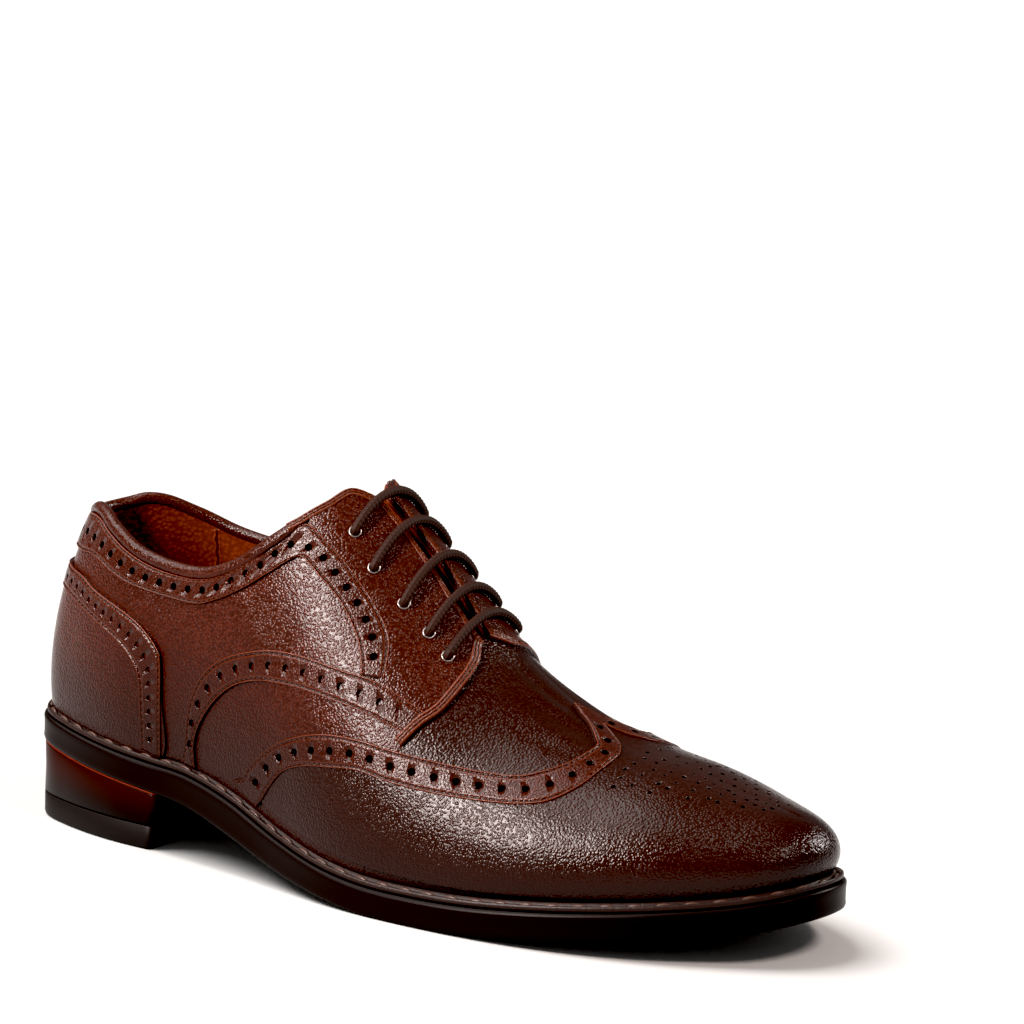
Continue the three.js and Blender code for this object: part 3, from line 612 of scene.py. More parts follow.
def last_form(at, share):
    side = np.where(share < 0, -1.0, 1.0)
    up = 1 - abs(share)
    foot_x, foot_y = foot_line(at / TOE, side)
    foot_z = sole_top(foot_x) + UPPER_LIFT

    def mirrored(column):
        return section_curve(SECTIONS[:, column], at, SECTIONS[1, column], SECTIONS[-2, column])

    ridge_x, ridge_z = mirrored(RIDGE_X), mirrored(RIDGE_Z)
    ridge_y = section_curve(SECTIONS[:, RIDGE_Y], at)
    out_x, out_y = foot_x - ridge_x, foot_y - ridge_y
    reach = np.hypot(out_x, out_y) + 1e-12
    out_x, out_y = out_x / reach, out_y / reach
    lean = np.where(side < 0, mirrored(LEAN_OUT), mirrored(LEAN_IN))
    belly, crown = mirrored(BELLY), mirrored(CROWN)
    corners = [
        (foot_x, foot_y, foot_z),
        (foot_x + out_x * lean, foot_y + out_y * lean, foot_z + belly * (ridge_z - foot_z)),
        (ridge_x + out_x * crown, ridge_y + out_y * crown, ridge_z),
        (ridge_x, ridge_y, ridge_z),
    ]
    shares = [(1 - up) ** 3, 3 * up * (1 - up) ** 2, 3 * up * up * (1 - up), up ** 3]
    return np.stack([sum(f * c[i] for f, c in zip(shares, corners)) for i in range(3)], -1)


def slopes_there(at, share):
    e, f = 0.024, 0.002
    a, s = np.clip(at, 2 * e, TOE - 2 * e), np.clip(share, f - 1, 1 - f)
    forward = (last_form(a + e, s) - last_form(a - e, s)) / (2 * e)
    over = (last_form(a, s + f) - last_form(a, s - f)) / (2 * f)
    return forward, over


def outward(at, share):
    normal = np.cross(*slopes_there(at, share))
    other = np.cross(*slopes_there(at, -share))
    normal /= np.linalg.norm(normal, axis=-1, keepdims=True)
    other /= np.linalg.norm(other, axis=-1, keepdims=True)
    normal = np.where(((at < 1e-5) | (at > TOE - 1e-5))[..., None], normal + other, normal)
    return normal / np.linalg.norm(normal, axis=-1, keepdims=True)


# Creases pressed in where the vamp folds, each from a place to a place with its depth and
# half-width: a trough above zero, a ridge below it.
CREASES = [
    ((6.86, -0.07), (7.62, -0.03), 0.45, 1.3), ((6.9, -0.15), (7.86, -0.06), -0.4, 1.5),
    ((6.96, -0.2), (8.02, -0.11), 0.45, 1.2), ((7.16, -0.27), (8.1, -0.17), -0.3, 1.6),
    ((7.3, -0.33), (8.12, -0.25), 0.3, 1.4), ((6.92, 0.1), (7.8, 0.05), 0.4, 1.4),
    ((7.0, 0.2), (7.98, 0.12), -0.35, 1.6), ((7.1, 0.28), (8.05, 0.2), 0.35, 1.4),
    ((7.75, -0.02), (8.5, -0.05), 0.25, 1.5), ((7.8, 0.08), (8.45, 0.06), -0.25, 1.6),
    ((4.3, -0.5), (5.0, -0.66), 0.3, 2.6), ((4.5, -0.62), (5.25, -0.78), -0.25, 3.0),
    ((4.4, 0.52), (5.1, 0.68), 0.3, 2.6),
]
HALF_GIRTH = 58.0


def spread_flat(at, share):
    """Places laid flat in millimetres, near enough to measure how far a crease is."""
    return np.stack([LENGTH * (1 - np.cos(np.pi * at / TOE)) / 2, HALF_GIRTH * share], -1)


def crease(at, share):
    depth = np.zeros(at.shape)
    flat = spread_flat(at, share)
    for start, end, deep, half in CREASES:
        a, b = (spread_flat(np.array(place[0]), np.array(place[1])) for place in (start, end))
        f = np.clip(((flat - a) @ (b - a)) / ((b - a) @ (b - a)), 0, 1)
        away = np.linalg.norm(flat - a - f[..., None] * (b - a), axis=-1)
        depth += deep * np.exp(-(away / half) ** 2) * (0.25 + 0.75 * np.sin(np.pi * f))
    return depth


def on_last(places, height):
    at, share = places[..., 0], places[..., 1]
    height = np.broadcast_to(height, at.shape) - crease(at, share)
    return last_form(at, share) + outward(at, share) * height[..., None]


def curve_through(places, count):
    """An even curve through the places: count points a like distance apart on the shoe."""
    places = np.asarray(places, dtype=float)
    last = len(places) - 1
    t = np.linspace(0, last, 40 * last + 1)
    i = np.minimum(t.astype(int), last - 1)
    f = (t - i)[:, None]
    p0, p1 = places[np.maximum(i - 1, 0)], places[i]
    p2, p3 = places[i + 1], places[np.minimum(i + 2, last)]
    dense = (p1 + f * (p2 - p0) / 2 + f * f * (p0 - 2.5 * p1 + 2 * p2 - p3 / 2)
             + f ** 3 * (-p0 + 3 * p1 - 3 * p2 + p3) / 2)
    run = np.concatenate([[0], np.cumsum(np.linalg.norm(np.diff(on_last(dense, 0), axis=0), axis=1))])
    even = np.linspace(0, run[-1], count)
    return np.stack([np.interp(even, run, dense[:, 0]), np.interp(even, run, dense[:, 1])], -1)


def moved_over(line, distance, side, steps=4):
    """A line on the shoe moved square to itself: towards the ridge when it runs to the toe."""
    line = line.copy()
    distance = np.broadcast_to(distance, len(line))[:, None] / steps
    for _ in range(steps):
        forward, over = slopes_there(line[:, 0], line[:, 1])
        along = np.gradient(on_last(line, 0), axis=0)
        square = -side * np.cross(outward(line[:, 0], line[:, 1]), along)
        square *= distance / np.linalg.norm(square, axis=1, keepdims=True)
        ff, fo, oo = (forward * forward).sum(1), (forward * over).sum(1), (over * over).sum(1)
        forward_part, over_part = (forward * square).sum(1), (over * square).sum(1)
        area = ff * oo - fo * fo
        line[:, 0] += (oo * forward_part - fo * over_part) / area
        line[:, 1] += (ff * over_part - fo * forward_part) / area
    line[:, 0] = np.clip(line[:, 0], 0, TOE)
    return line


def filled(bottom, top, left, right):
    """Even places between four edges that meet at their ends."""
    s = np.linspace(0, 1, len(bottom))[:, None, None]
    r = np.linspace(0, 1, len(left))[None, :, None]
    edges = (1 - r) * bottom[:, None] + r * top[:, None] + (1 - s) * left[None] + s * right[None]
    corners = (1 - s) * ((1 - r) * bottom[0] + r * top[0]) + s * ((1 - r) * bottom[-1] + r * top[-1])
    return edges - corners


def last_uv(places):
    return np.stack([places[..., 0] / TOE, 0.5 + places[..., 1] / 2], -1)


SHEET_MERGE = 0.003
EDGE_ANGLE = 50


def leather_sheet(name, fields, high, low, nodes, material, heel_seam=False, toe_seam=False,
                  round_edge=0.35):
    """A closed sheet of leather over the form, from grids of places with rows from heel to toe."""
    points, uvs, faces = [], [], []
    base = 0
    for places in fields:
        rows, columns = places.shape[:2]
        count = rows * columns
        for height in (high, low):
            points.append(on_last(places, height).reshape(-1, 3))
            uvs.append(last_uv(places).reshape(-1, 2))
        faces += grid_faces(rows, columns, base) + grid_faces(rows, columns, base + count)
        rim = [(i * columns + end, (i + 1) * columns + end)
               for i in range(rows - 1) for end in (0, columns - 1)]
        if not heel_seam:
            rim += [(j, j + 1) for j in range(columns - 1)]
        if not toe_seam:
            rim += [(count - columns + j, count - columns + j + 1) for j in range(columns - 1)]
        faces += [(base + a, base + count + a, base + count + b, base + b) for a, b in rim]
        base += 2 * count
    obj = make_piece(
        name, np.concatenate(points), faces, nodes, np.concatenate(uvs), material, SHEET_MERGE)
    if round_edge:
        apply_modifier(obj, "BEVEL", width=round_edge / 1000, segments=3, limit_method="ANGLE",
                       angle_limit=math.radians(EDGE_ANGLE), loop_slide=False)
    return obj


# Lines on the upper as pairs of section and height: 0 at the foot line and 1 at the ridge.
COLLAR = [
    (0, 0.615), (0.8, 0.618), (1.4, 0.62), (2.0, 0.592), (2.6, 0.532), (3.29, 0.458), (4.0, 0.42),
    (4.5, 0.446), (4.86, 0.527), (5.1, 0.623), (5.26, 0.718), (5.38, 0.83),
]
THROAT_OUTER = [
    (5.58, 0.905), (5.8, 0.913), (6.02, 0.906), (6.26, 0.888), (6.47, 0.869), (6.72, 0.852),
]
THROAT_INNER = [
    (5.58, 0.985), (5.78, 0.99), (6.0, 0.985), (6.24, 0.97), (6.46, 0.945), (6.72, 0.91),
]
TAB_EDGE = [(6.52, 0.36), (6.63, 0.45), (6.74, 0.54), (6.79, 0.67), (6.78, 0.77), (6.72, 0.835)]
FRONT_OVER_RIDGE = [(6.82, 0.22), (6.84, 0.12), (6.83, 0.015), (6.78, -0.04), (6.72, -0.09)]


def sided(table, side):
    """Places on one side from a table of section and height (0 at the foot, 1 at the ridge)."""
    table = np.array(table, dtype=float)
    return np.column_stack([table[:, 0], side * (1 - table[:, 1])])


# Calf, dyed by hand and burnished with wax, which darkens it along the sole and at the toe; painted shade
# for the low walls and the toe is mixed into that darkening. Its raised edges are lightened for wear
# and painted highlight and its grooves darkened with painted shade, and the pebbled grain breaks up the
# shine.
# The burnish colour also holds painted shade for the low walls and the toe.
BURNISH_AND_SHADE = "#180603"
# The rubbed colour is partly wear and partly painted highlight; the seam dark is painted shade in grooves.
RUB_AND_HIGHLIGHT = "#7C3A1E"
GROOVE_SHADE = "#150604"
FOLD_WIDTH = 14.3
CLOUD_WIDTH = 35.7


def leather(name, colour, crevice, grain=1.0, roughness=0.19, specular=0.18, cell=0.8):
    """Burnished leather with grain cells of a size in millimetres, its crevices darker."""
    material = new_material(name)
    place = add_node(material, "TexCoord").outputs["Object"]
    wander = add_node(material, "TexNoise", Vector=place, Scale=0.35 * per_metre(cell), Detail=2.0)
    shift = add_node(
        material, "VectorMath", {"operation": "MULTIPLY_ADD"}, i0=wander.outputs["Color"],
        i1=(0.8 / per_metre(cell),) * 3, i2=place)
    cells = add_node(
        material, "TexVoronoi", {"feature": "SMOOTH_F1"}, Vector=shift.outputs["Vector"],
        Scale=per_metre(cell), Smoothness=0.35)
    pebble = add_node(
        material, "MapRange", {"interpolation_type": "SMOOTHSTEP"}, Value=cells.outputs["Distance"],
        From_Min=0.75, From_Max=0.05)
    fine = add_node(material, "TexNoise", Vector=place, Scale=2.6 * per_metre(cell), Detail=3.0)
    height = add_node(
        material, "Math", {"operation": "MULTIPLY_ADD"}, i0=fine.outputs["Fac"], i1=0.35,
        i2=pebble.outputs["Result"])
    folds = add_node(
        material, "TexNoise", Vector=place, Scale=per_metre(FOLD_WIDTH), Detail=3.0, Distortion=0.4)
    soft = add_node(
        material, "Bump", Height=folds.outputs["Fac"], Strength=0.22 * grain, Distance=0.0012)
    bump = add_node(
        material, "Bump", Height=height.outputs["Value"], Strength=0.75 * grain, Distance=0.00014,
        Normal=soft.outputs["Normal"])
    uv = add_node(material, "UVMap", {"uv_map": "last"})
    split = add_node(material, "SeparateXYZ", Vector=uv.outputs["UV"])
    off_ridge = add_node(material, "Math", {"operation": "SUBTRACT"}, i0=split.outputs["Y"], i1=0.5)
    off_ridge = add_node(material, "Math", {"operation": "ABSOLUTE"}, i0=off_ridge.outputs["Value"])
    # Darker towards the sole and at the toe: wax burnish with painted shade mixed in.
    low_dark = add_node(
        material, "MapRange", {"interpolation_type": "SMOOTHSTEP"}, Value=off_ridge.outputs["Value"],
        From_Min=0.34, From_Max=0.495)
    toe_dark = add_node(
        material, "MapRange", {"interpolation_type": "SMOOTHSTEP"}, Value=split.outputs["X"],
        From_Min=0.80, From_Max=0.99)
    burnish_and_shade = add_node(
        material, "Math", {"operation": "MAXIMUM"}, i0=low_dark.outputs["Result"],
        i1=toe_dark.outputs["Result"])
    clouds = add_node(
        material, "TexNoise", Vector=place, Scale=per_metre(CLOUD_WIDTH), Detail=5.0, Roughness=0.6)
    cloud = add_node(
        material, "MapRange", Value=clouds.outputs["Fac"], From_Min=0.3, From_Max=0.7, To_Min=0.25)
    tone = add_node(
        material, "Math", {"operation": "MULTIPLY_ADD", "use_clamp": True}, i0=pebble.outputs["Result"],
        i1=cloud.outputs["Result"], i2=0.12)
    skin = add_node(
        material, "Mix", {"data_type": "RGBA"}, Factor=tone.outputs["Value"], i6=linear(crevice),
        i7=linear(colour))
    # The wear mark: above nought it lightens for wear and painted highlight, below it darkens with painted
    # shade.
    wear_and_painted_light = add_node(material, "Attribute", {"attribute_name": "wear_and_painted_light"}).outputs["Fac"]
    rub_and_highlight = add_node(
        material, "MapRange", Value=wear_and_painted_light, From_Min=0.0, From_Max=1.0, To_Min=0.0, To_Max=0.85)
    bright = add_node(
        material, "Mix", {"data_type": "RGBA"}, Factor=rub_and_highlight.outputs["Result"], i6=skin.outputs[2],
        i7=linear(RUB_AND_HIGHLIGHT))
    groove_shade_amount = add_node(material, "MapRange", Value=wear_and_painted_light, From_Min=0.0, From_Max=-1.0)
    groove_shaded = add_node(
        material, "Mix", {"data_type": "RGBA"}, Factor=groove_shade_amount.outputs["Result"], i6=bright.outputs[2],
        i7=linear(GROOVE_SHADE))
    strength = add_node(material, "Math", {"operation": "MULTIPLY"}, i0=burnish_and_shade.outputs["Value"], i1=0.86)
    burnished_and_shaded = add_node(
        material, "Mix", {"data_type": "RGBA"}, Factor=strength.outputs["Value"], i6=groove_shaded.outputs[2],
        i7=linear(BURNISH_AND_SHADE))
    shader = add_node(
        material, "BsdfPrincipled", Base_Color=burnished_and_shaded.outputs[2], Roughness=roughness,
        Specular_IOR_Level=specular, Normal=bump.outputs["Normal"])
    add_node(material, "OutputMaterial", Surface=shader.outputs["BSDF"])
    return material


calf = leather("red-brown calf", "#43190D", "#220B06")
# Burnished calf darkened further with painted shade, for the vamp and the wing.
calf_burnished_and_shaded = leather("burnished calf darkened with painted shade", "#2B130D", "#1A0A06")
calf_orange = leather(
    "tan lining calf", "#6C301B", "#481C0E", grain=1.3, roughness=0.5, specular=0.08, cell=1.6)
calf_trim = leather("red-brown calf trim", "#3E180D", "#220B06", grain=0.85, cell=0.7)

# Sewing thread, dyed to the leather: too thin for its twist to show.
stitch_thread = new_material("dark sewing thread")
sewing = add_node(
    stitch_thread, "BsdfPrincipled", Base_Color=linear("#3A170C"), Roughness=0.4, Specular_IOR_Level=0.15)
add_node(stitch_thread, "OutputMaterial", Surface=sewing.outputs["BSDF"])

# Painted shade for the inside of a punched hole: its walls and floor near black, so that no light seems to
# come back out of it.
punched = new_material("painted shade inside a punched hole")
punched_shader = add_node(
    punched, "BsdfPrincipled", Base_Color=linear("#080302"), Roughness=0.8, Specular_IOR_Level=0.05)
add_node(punched, "OutputMaterial", Surface=punched_shader.outputs["BSDF"])


def length_of(line):
    return np.linalg.norm(np.diff(on_last(line, 0), axis=0), axis=1).sum()


PUNCH_CLEAR = 0.8


def prisms(places, radius, top, depth, sides=14):
    """Points and faces of upright prisms on the leather, one at each place."""
    out = outward(places[:, 0], places[:, 1])
    forward, _ = slopes_there(places[:, 0], places[:, 1])
    first = forward / np.linalg.norm(forward, axis=1, keepdims=True)
    second = np.cross(out, first)
    second /= np.linalg.norm(second, axis=1, keepdims=True)
    turns = np.linspace(0, 2 * np.pi, sides, endpoint=False)[:, None]
    around = np.cos(turns) * first[:, None] + np.sin(turns) * second[:, None]
    around = around * np.broadcast_to(radius, len(places))[:, None, None]
    centre = on_last(places, 0)[:, None]
    levels = [centre + around + out[:, None] * h for h in (top + PUNCH_CLEAR, top - depth)]
    points = np.stack(levels, 1)
    one = grid_faces(2, sides, around=True) + [tuple(range(sides)), tuple(range(sides, 2 * sides))]
    faces = [tuple(n * 2 * sides + i for i in face) for n in range(len(places)) for face in one]
    return points.reshape(-1, 3), faces


def punch(piece, places, radius, top, depth):
    """Cuts round holes into a piece, their walls and floors in a near-black painted shade."""
    points, faces = prisms(places, radius, top, depth)
    cutter = make_piece("cutter", points, faces, material=punched, loose=True)
    apply_modifier(piece, "BOOLEAN", operation="DIFFERENCE", solver="MANIFOLD", object=cutter,
                   material_mode="TRANSFER")
    bpy.data.objects.remove(cutter)


STITCH_DIP = 0.2


def stitch_row(rows, pitch=2.2, length=1.55, thickness=0.46):
    """Small arched stitches along rows, each a line of places and its height over the last."""
    every_point, every_face = [], []
    base = 0
    for line, height in rows:
        dense = curve_through(line, max(60, int(length_of(line))))
        path = on_last(dense, height)
        centres, alongs = along_path(path, pitch)
        out = outward(dense[:, 0], dense[:, 1])
        run = np.concatenate([[0], np.cumsum(np.linalg.norm(np.diff(path, axis=0), axis=1))])
        at = (np.arange(len(centres)) + 0.5) * run[-1] / len(centres)
        normals = np.stack([np.interp(at, run, out[:, i]) for i in range(3)], -1)
        points, faces = stitch_meshes(centres, alongs, normals, length, thickness, STITCH_DIP)
        every_point.append(points)
        every_face += [tuple(base + i for i in face) for face in faces]
        base += len(points)
    return np.concatenate(every_point), every_face


def strip(name, pairs, profile, low, material, joined=None):
    """A strip between two lines of places, its section a list of (share across, mm, height, mark); the
    mark lightens for wear and painted highlight above nought and darkens with painted shade below it.
    """
    points, uvs, wear_and_painted_light_rows, faces = [], [], [], []
    base = 0
    for lower, upper in pairs:
        wide = np.linalg.norm(on_last(upper, 0) - on_last(lower, 0), axis=1)
        loops, marks = [], []
        section = profile + [(1, -0.05, low, 0), (0, 0.05, low, 0)]
        wear_and_painted_light_rows += [np.tile([wear_and_painted_light for _, _, _, wear_and_painted_light in section], len(lower))]
        for share, mm, height, _ in section:
            f = (share + mm / wide)[:, None]
            places = lower * (1 - f) + upper * f
            loops.append(on_last(places, height))
            marks.append(last_uv(places))
        ring = np.stack(loops, 1)
        rows, columns = ring.shape[:2]
        points.append(ring.reshape(-1, 3))
        uvs.append(np.stack(marks, 1).reshape(-1, 2))
        faces += grid_faces(rows, columns, base, around=True)
        if joined != "heel":
            faces.append(tuple(base + j for j in range(columns)))
        if joined != "ridge":
            faces.append(tuple(base + (rows - 1) * columns + j for j in range(columns)))
        base += rows * columns
    return make_piece(name, np.concatenate(points), faces, (), np.concatenate(uvs), material,
                      wear_and_painted_light=np.concatenate(wear_and_painted_light_rows))


def banded(top):
    """The section of a brogued band: a bead and a stitched groove along each edge, the bead lightened for
    wear and painted highlight and the groove darkened with painted shade.
    """
    edge = [(0, top - 0.5, -0.8), (0.1, top - 0.1, 0), (0.28, top + 0.12, 0.6), (0.5, top + 0.06, 0.1),
            (0.75, top - 0.12, -0.9), (1.0, top - 0.28, -1), (1.25, top - 0.1, -0.7),
            (1.55, top + 0.06, 0.25), (2.0, top + 0.05, 0)]
    section = [(0, mm, height, wear_and_painted_light) for mm, height, wear_and_painted_light in edge] + [(0.5, 0, top + 0.08, 0)]
    return section + [(1, -mm, height, wear_and_painted_light) for mm, height, wear_and_painted_light in edge[::-1]]


def beaded(top):
    """The section of a narrow edge binding: three beads lightened for wear and painted highlight, with
    stitched grooves between darkened with painted shade.
    """
    edge = [(0, top - 0.5, -0.6), (0.08, top - 0.1, 0.3), (0.2, top + 0.15, 0.45), (0.27, top + 0.1, 0.2),
            (0.34, top - 0.25, -1), (0.42, top + 0.05, 0.1)]
    section = [(share, 0, height, wear_and_painted_light) for share, height, wear_and_painted_light in edge] + [(0.5, 0, top + 0.15, 0.4)]
    return section + [(1 - share, 0, height, wear_and_painted_light) for share, height, wear_and_painted_light in edge[::-1]]


def across_pair(lower, upper, mm=None, share=None):
    """A line between two lines: mm from the lower one (from the upper one if below nought)."""
    wide = np.linalg.norm(on_last(upper, 0) - on_last(lower, 0), axis=1)
    f = np.full(len(lower), share) if share is not None else (mm / wide if mm > 0 else 1 + mm / wide)
    return lower * (1 - f[:, None]) + upper * f[:, None]


BAND_STITCH_IN = 1.0
BAND_STITCH_SUNK = 0.22
HOLE_DEPTH = 1.0
HOLE_FLOOR = 0.1
BACKING_HOLE_DEPTH = 0.6


def brogued_band(name, pairs, top, low, pitch, hole, joined=None, backing=None):
    """A band with its rows of stitches, and its row of holes punched on into the leather behind, their
    insides in painted shade.
    """
    band = strip(name, pairs, banded(top), low, calf_trim, joined)
    middle = [across_pair(lower, upper, share=0.5) for lower, upper in pairs]
    places = np.concatenate([
        curve_through(line, int(length_of(line) / pitch) + 1)[1:-1] for line in middle])
    punch(band, places, hole / 2, top, min(HOLE_DEPTH, top - low - HOLE_FLOOR))
    if backing:
        punch(backing, places, hole / 2 - HOLE_FLOOR, OVERLAY_TOP, BACKING_HOLE_DEPTH)
    rows = [(across_pair(lower, upper, mm=mm), top - BAND_STITCH_SUNK)
            for lower, upper in pairs for mm in (BAND_STITCH_IN, -BAND_STITCH_IN)]
    points, faces = stitch_row(rows)
    make_piece(name + "_stitches", points, faces, material=stitch_thread, loose=True)


# The quarters: two pieces of calf joined at the heel, lined with tan calf and cut low at the ankle.
# They are lasted over the heel, and their front edges meet the vamp under the eyestays' tabs.
QUARTER_FOOT = [(0, 0), (2, 0), (4, 0), (6.3, 0)]
OUTER_LEATHER = 1.2
LINING_TOP = -1.3


def quarter_field(side, along=141, upward=49):
    if side < 0:
        top = np.concatenate([sided(COLLAR, -1), sided(THROAT_OUTER, -1)])
        front = sided([(6.3, 0), (6.43, 0.2)] + TAB_EDGE + [(6.72, 0.852)], -1)
    else:
        top = np.concatenate([sided(COLLAR, 1), sided(THROAT_INNER, -1)])
        front = np.concatenate([
            sided([(6.3, 0), (6.43, 0.2)] + TAB_EDGE[:4], 1), FRONT_OVER_RIDGE])
    heel = sided([(0, 0), (0, 0.2), (0, 0.4), (0, 0.615)], side)
    return filled(
        curve_through(sided(QUARTER_FOOT, side), along), curve_through(top, along),
        curve_through(heel, upward), curve_through(front, upward))


quarter_fields = [quarter_field(-1), quarter_field(1)]
quarters = leather_sheet(
    "quarters", quarter_fields, 0, -OUTER_LEATHER, ["upper"], calf, heel_seam=True)
lining = leather_sheet(
    "lining", quarter_fields, LINING_TOP, -WALL, [], calf_orange, heel_seam=True)

# The lining's seam on each side: its two pieces butt under a narrow puckered tape. A row of its
# section is a share across, a height and a mark: above nought it lightens for wear and painted
# highlight, below it darkens with painted shade.
SEAM_AT = 2.9
SEAM_HALF = 0.07
SEAM_PUCKER = 0.02
SEAM_LOW = -2.0
SEAM_ROWS = [
    (0, -2.1, 0), (0.22, -2.75, 0.4), (0.42, -2.45, -0.8), (0.58, -2.45, -0.8), (0.78, -2.75, 0.4),
    (1, -2.1, 0),
]
seam_section = [(share, 0, height, wear_and_painted_light) for share, height, wear_and_painted_light in SEAM_ROWS]
for side, side_name in ((-1, "outer"), (1, "inner")):
    rear_line, front_line = (
        curve_through(sided([(at, 0.12), (at, 0.3), (at, 0.47)], side), 60)
        for at in (SEAM_AT - SEAM_HALF, SEAM_AT + SEAM_HALF))
    rear_line[:, 0] += SEAM_PUCKER * np.sin(np.linspace(0, 60, 60))
    strip("lining_seam_" + side_name, [(rear_line, front_line)], seam_section, SEAM_LOW,
          calf_orange)

# The vamp: one piece of burnished calf, darkened further with painted shade, pulled over the front of
# the last, with the eyestays' tabs over its rear edge and the wing over its toe.
VAMP_SUNK = 0.25
VAMP_REAR = [
    (-1, 6.3), (-0.8, 6.4), (-0.64, 6.46), (-0.55, 6.57), (-0.46, 6.68), (-0.33, 6.74), (-0.23, 6.73),
    (-0.15, 6.68), (-0.1, 6.68), (0.0, 6.74), (0.12, 6.77), (0.22, 6.76), (0.33, 6.74), (0.46, 6.68),
    (0.55, 6.57), (0.64, 6.46), (0.8, 6.4), (1, 6.3),
]


def toward_toe(start, rows):
    """Sections from each start to the toe, spaced nearly evenly along the shoe."""
    f = np.linspace(0, 1, rows)[:, None]
    near = (1 - np.cos(np.pi * start / TOE)) / 2
    even = np.arccos(np.clip(1 - 2 * (near + (1 - near) * f), -1, 1)) * TOE / np.pi
    return 0.55 * (start + (TOE - start) * f) + 0.45 * even


def front_field(rear, rows, columns):
    """Places from a rear line to the toe, the rear line a table of share across and section."""
    share = np.linspace(-1.0, 1.0, columns)
    rear = np.array(rear, dtype=float)
    rear_at = np.interp(share, rear[:, 0], rear[:, 1])
    at = toward_toe(rear_at, rows)
    return np.stack([at, np.broadcast_to(share, at.shape)], -1)


leather_sheet(
    "vamp", [front_field(VAMP_REAR, 161, 121)], -VAMP_SUNK, -WALL, [], calf_burnished_and_shaded,
    toe_seam=True)

# The wing: the toe's overlay of burnished calf, darkened further with painted shade, its point on the
# ridge and its ends swept back along the sole. It is glued and sewn over the vamp.
WING_SEAM = [
    (4.72, 0.025), (4.85, 0.04), (4.93, 0.068), (5.18, 0.13), (5.47, 0.19), (5.82, 0.255), (6.14, 0.298),
    (6.46, 0.334), (6.89, 0.396), (7.31, 0.462), (7.58, 0.516), (7.75, 0.583), (7.89, 0.669),
    (7.96, 0.76), (7.98, 0.843),
]
WING_PEAK = [(7.98, 0.843), (7.88, 0.892), (7.74, 0.935), (7.6, 0.97), (7.48, 1)]


def even_places(line, count):
    """Places a like distance apart along a fine line, its corners kept."""
    run = np.concatenate([[0], np.cumsum(np.linalg.norm(np.diff(on_last(line, 0), axis=0), axis=1))])
    even = np.linspace(0, run[-1], count)
    return np.stack([np.interp(even, run, line[:, i]) for i in range(2)], -1)


def wing_field(along=201, upward=71):
    sides = []
    for side in (-1, 1):
        rear = np.concatenate([
            curve_through(sided(WING_SEAM, side), 600), curve_through(sided(WING_PEAK, side), 200)[1:]])
        sides.append(even_places(rear, upward))
    start = np.concatenate([sides[0], sides[1][::-1][1:]])
    f = np.linspace(0, 1, along)[:, None]
    across = start[:, 1] * (1 - f) + np.linspace(-0.98, 0.98, len(start)) * f
    return np.stack([toward_toe(start[:, 0], along), across], -1)


wing = leather_sheet(
    "wing", [wing_field()], OVERLAY_TOP, OVERLAY_UNDER, ["wing_cap"], calf_burnished_and_shaded,
    toe_seam=True)

# The wing's band: a strip of calf sewn over the wing's rear edge with a row of stitches along each
# side, and punched with one row of large holes, their insides darkened with painted shade.
BAND_UNDER = 0.1
BAND_TOP = 1.25
WING_BAND = [
    ((4.72, 0.025), (5.02, 0.01)), ((4.85, 0.04), (5.10, 0.03)), ((4.93, 0.068), (5.19, 0.06)),
    ((5.18, 0.13), (5.36, 0.109)), ((5.47, 0.19), (5.60, 0.152)), ((5.82, 0.255), (5.90, 0.195)),
    ((6.14, 0.298), (6.19, 0.232)), ((6.46, 0.334), (6.52, 0.257)), ((6.89, 0.396), (6.97, 0.306)),
    ((7.31, 0.462), (7.41, 0.363)), ((7.58, 0.516), (7.73, 0.414)), ((7.75, 0.583), (7.97, 0.48)),
    ((7.89, 0.669), (8.15, 0.597)), ((7.96, 0.76), (8.22, 0.72)), ((7.98, 0.843), (8.24, 0.845)),
    ((7.88, 0.892), (8.17, 0.915)), ((7.74, 0.935), (8.06, 0.955)), ((7.6, 0.97), (7.93, 0.982)),
    ((7.48, 1.0), (7.82, 1.0)),
]


def band_lines(table, side, count):
    """Even lines along a table's first and second places, point beside point."""
    table = np.array(table, dtype=float)
    first, second = (curve_through(sided(table[:, i], side), 40 * len(table)) for i in (0, 1))
    stops = np.linspace(0, 1, len(table))
    knots = []
    for line, i in ((first, 0), (second, 1)):
        target = sided(table[:, i], side)
        nearest = [np.abs(line - place).sum(1).argmin() for place in target]
        at = np.interp(np.linspace(0, 1, count), stops, nearest)
        knots.append(np.stack([np.interp(at, np.arange(len(line)), line[:, j]) for j in range(2)], -1))
    return knots[1], knots[0]


brogued_band(
    "wing_band", [band_lines(WING_BAND, side, 260) for side in (-1, 1)], BAND_TOP, BAND_UNDER,
    pitch=7.5, hole=2.6, joined="ridge", backing=wing)

# The toe's ornament: small holes pricked through the wing with a hand punch, in loose rows that
# narrow towards the tip, their insides darkened with painted shade.
MEDALLION_HEEL = 8.45
MEDALLION_TOE = 10.7
MEDALLION_HALF = 0.36
MEDALLION_PITCH = 4.6
MEDALLION_ROWS = 12
MEDALLION_SEED = 7
MEDALLION_DEPTH = 0.75


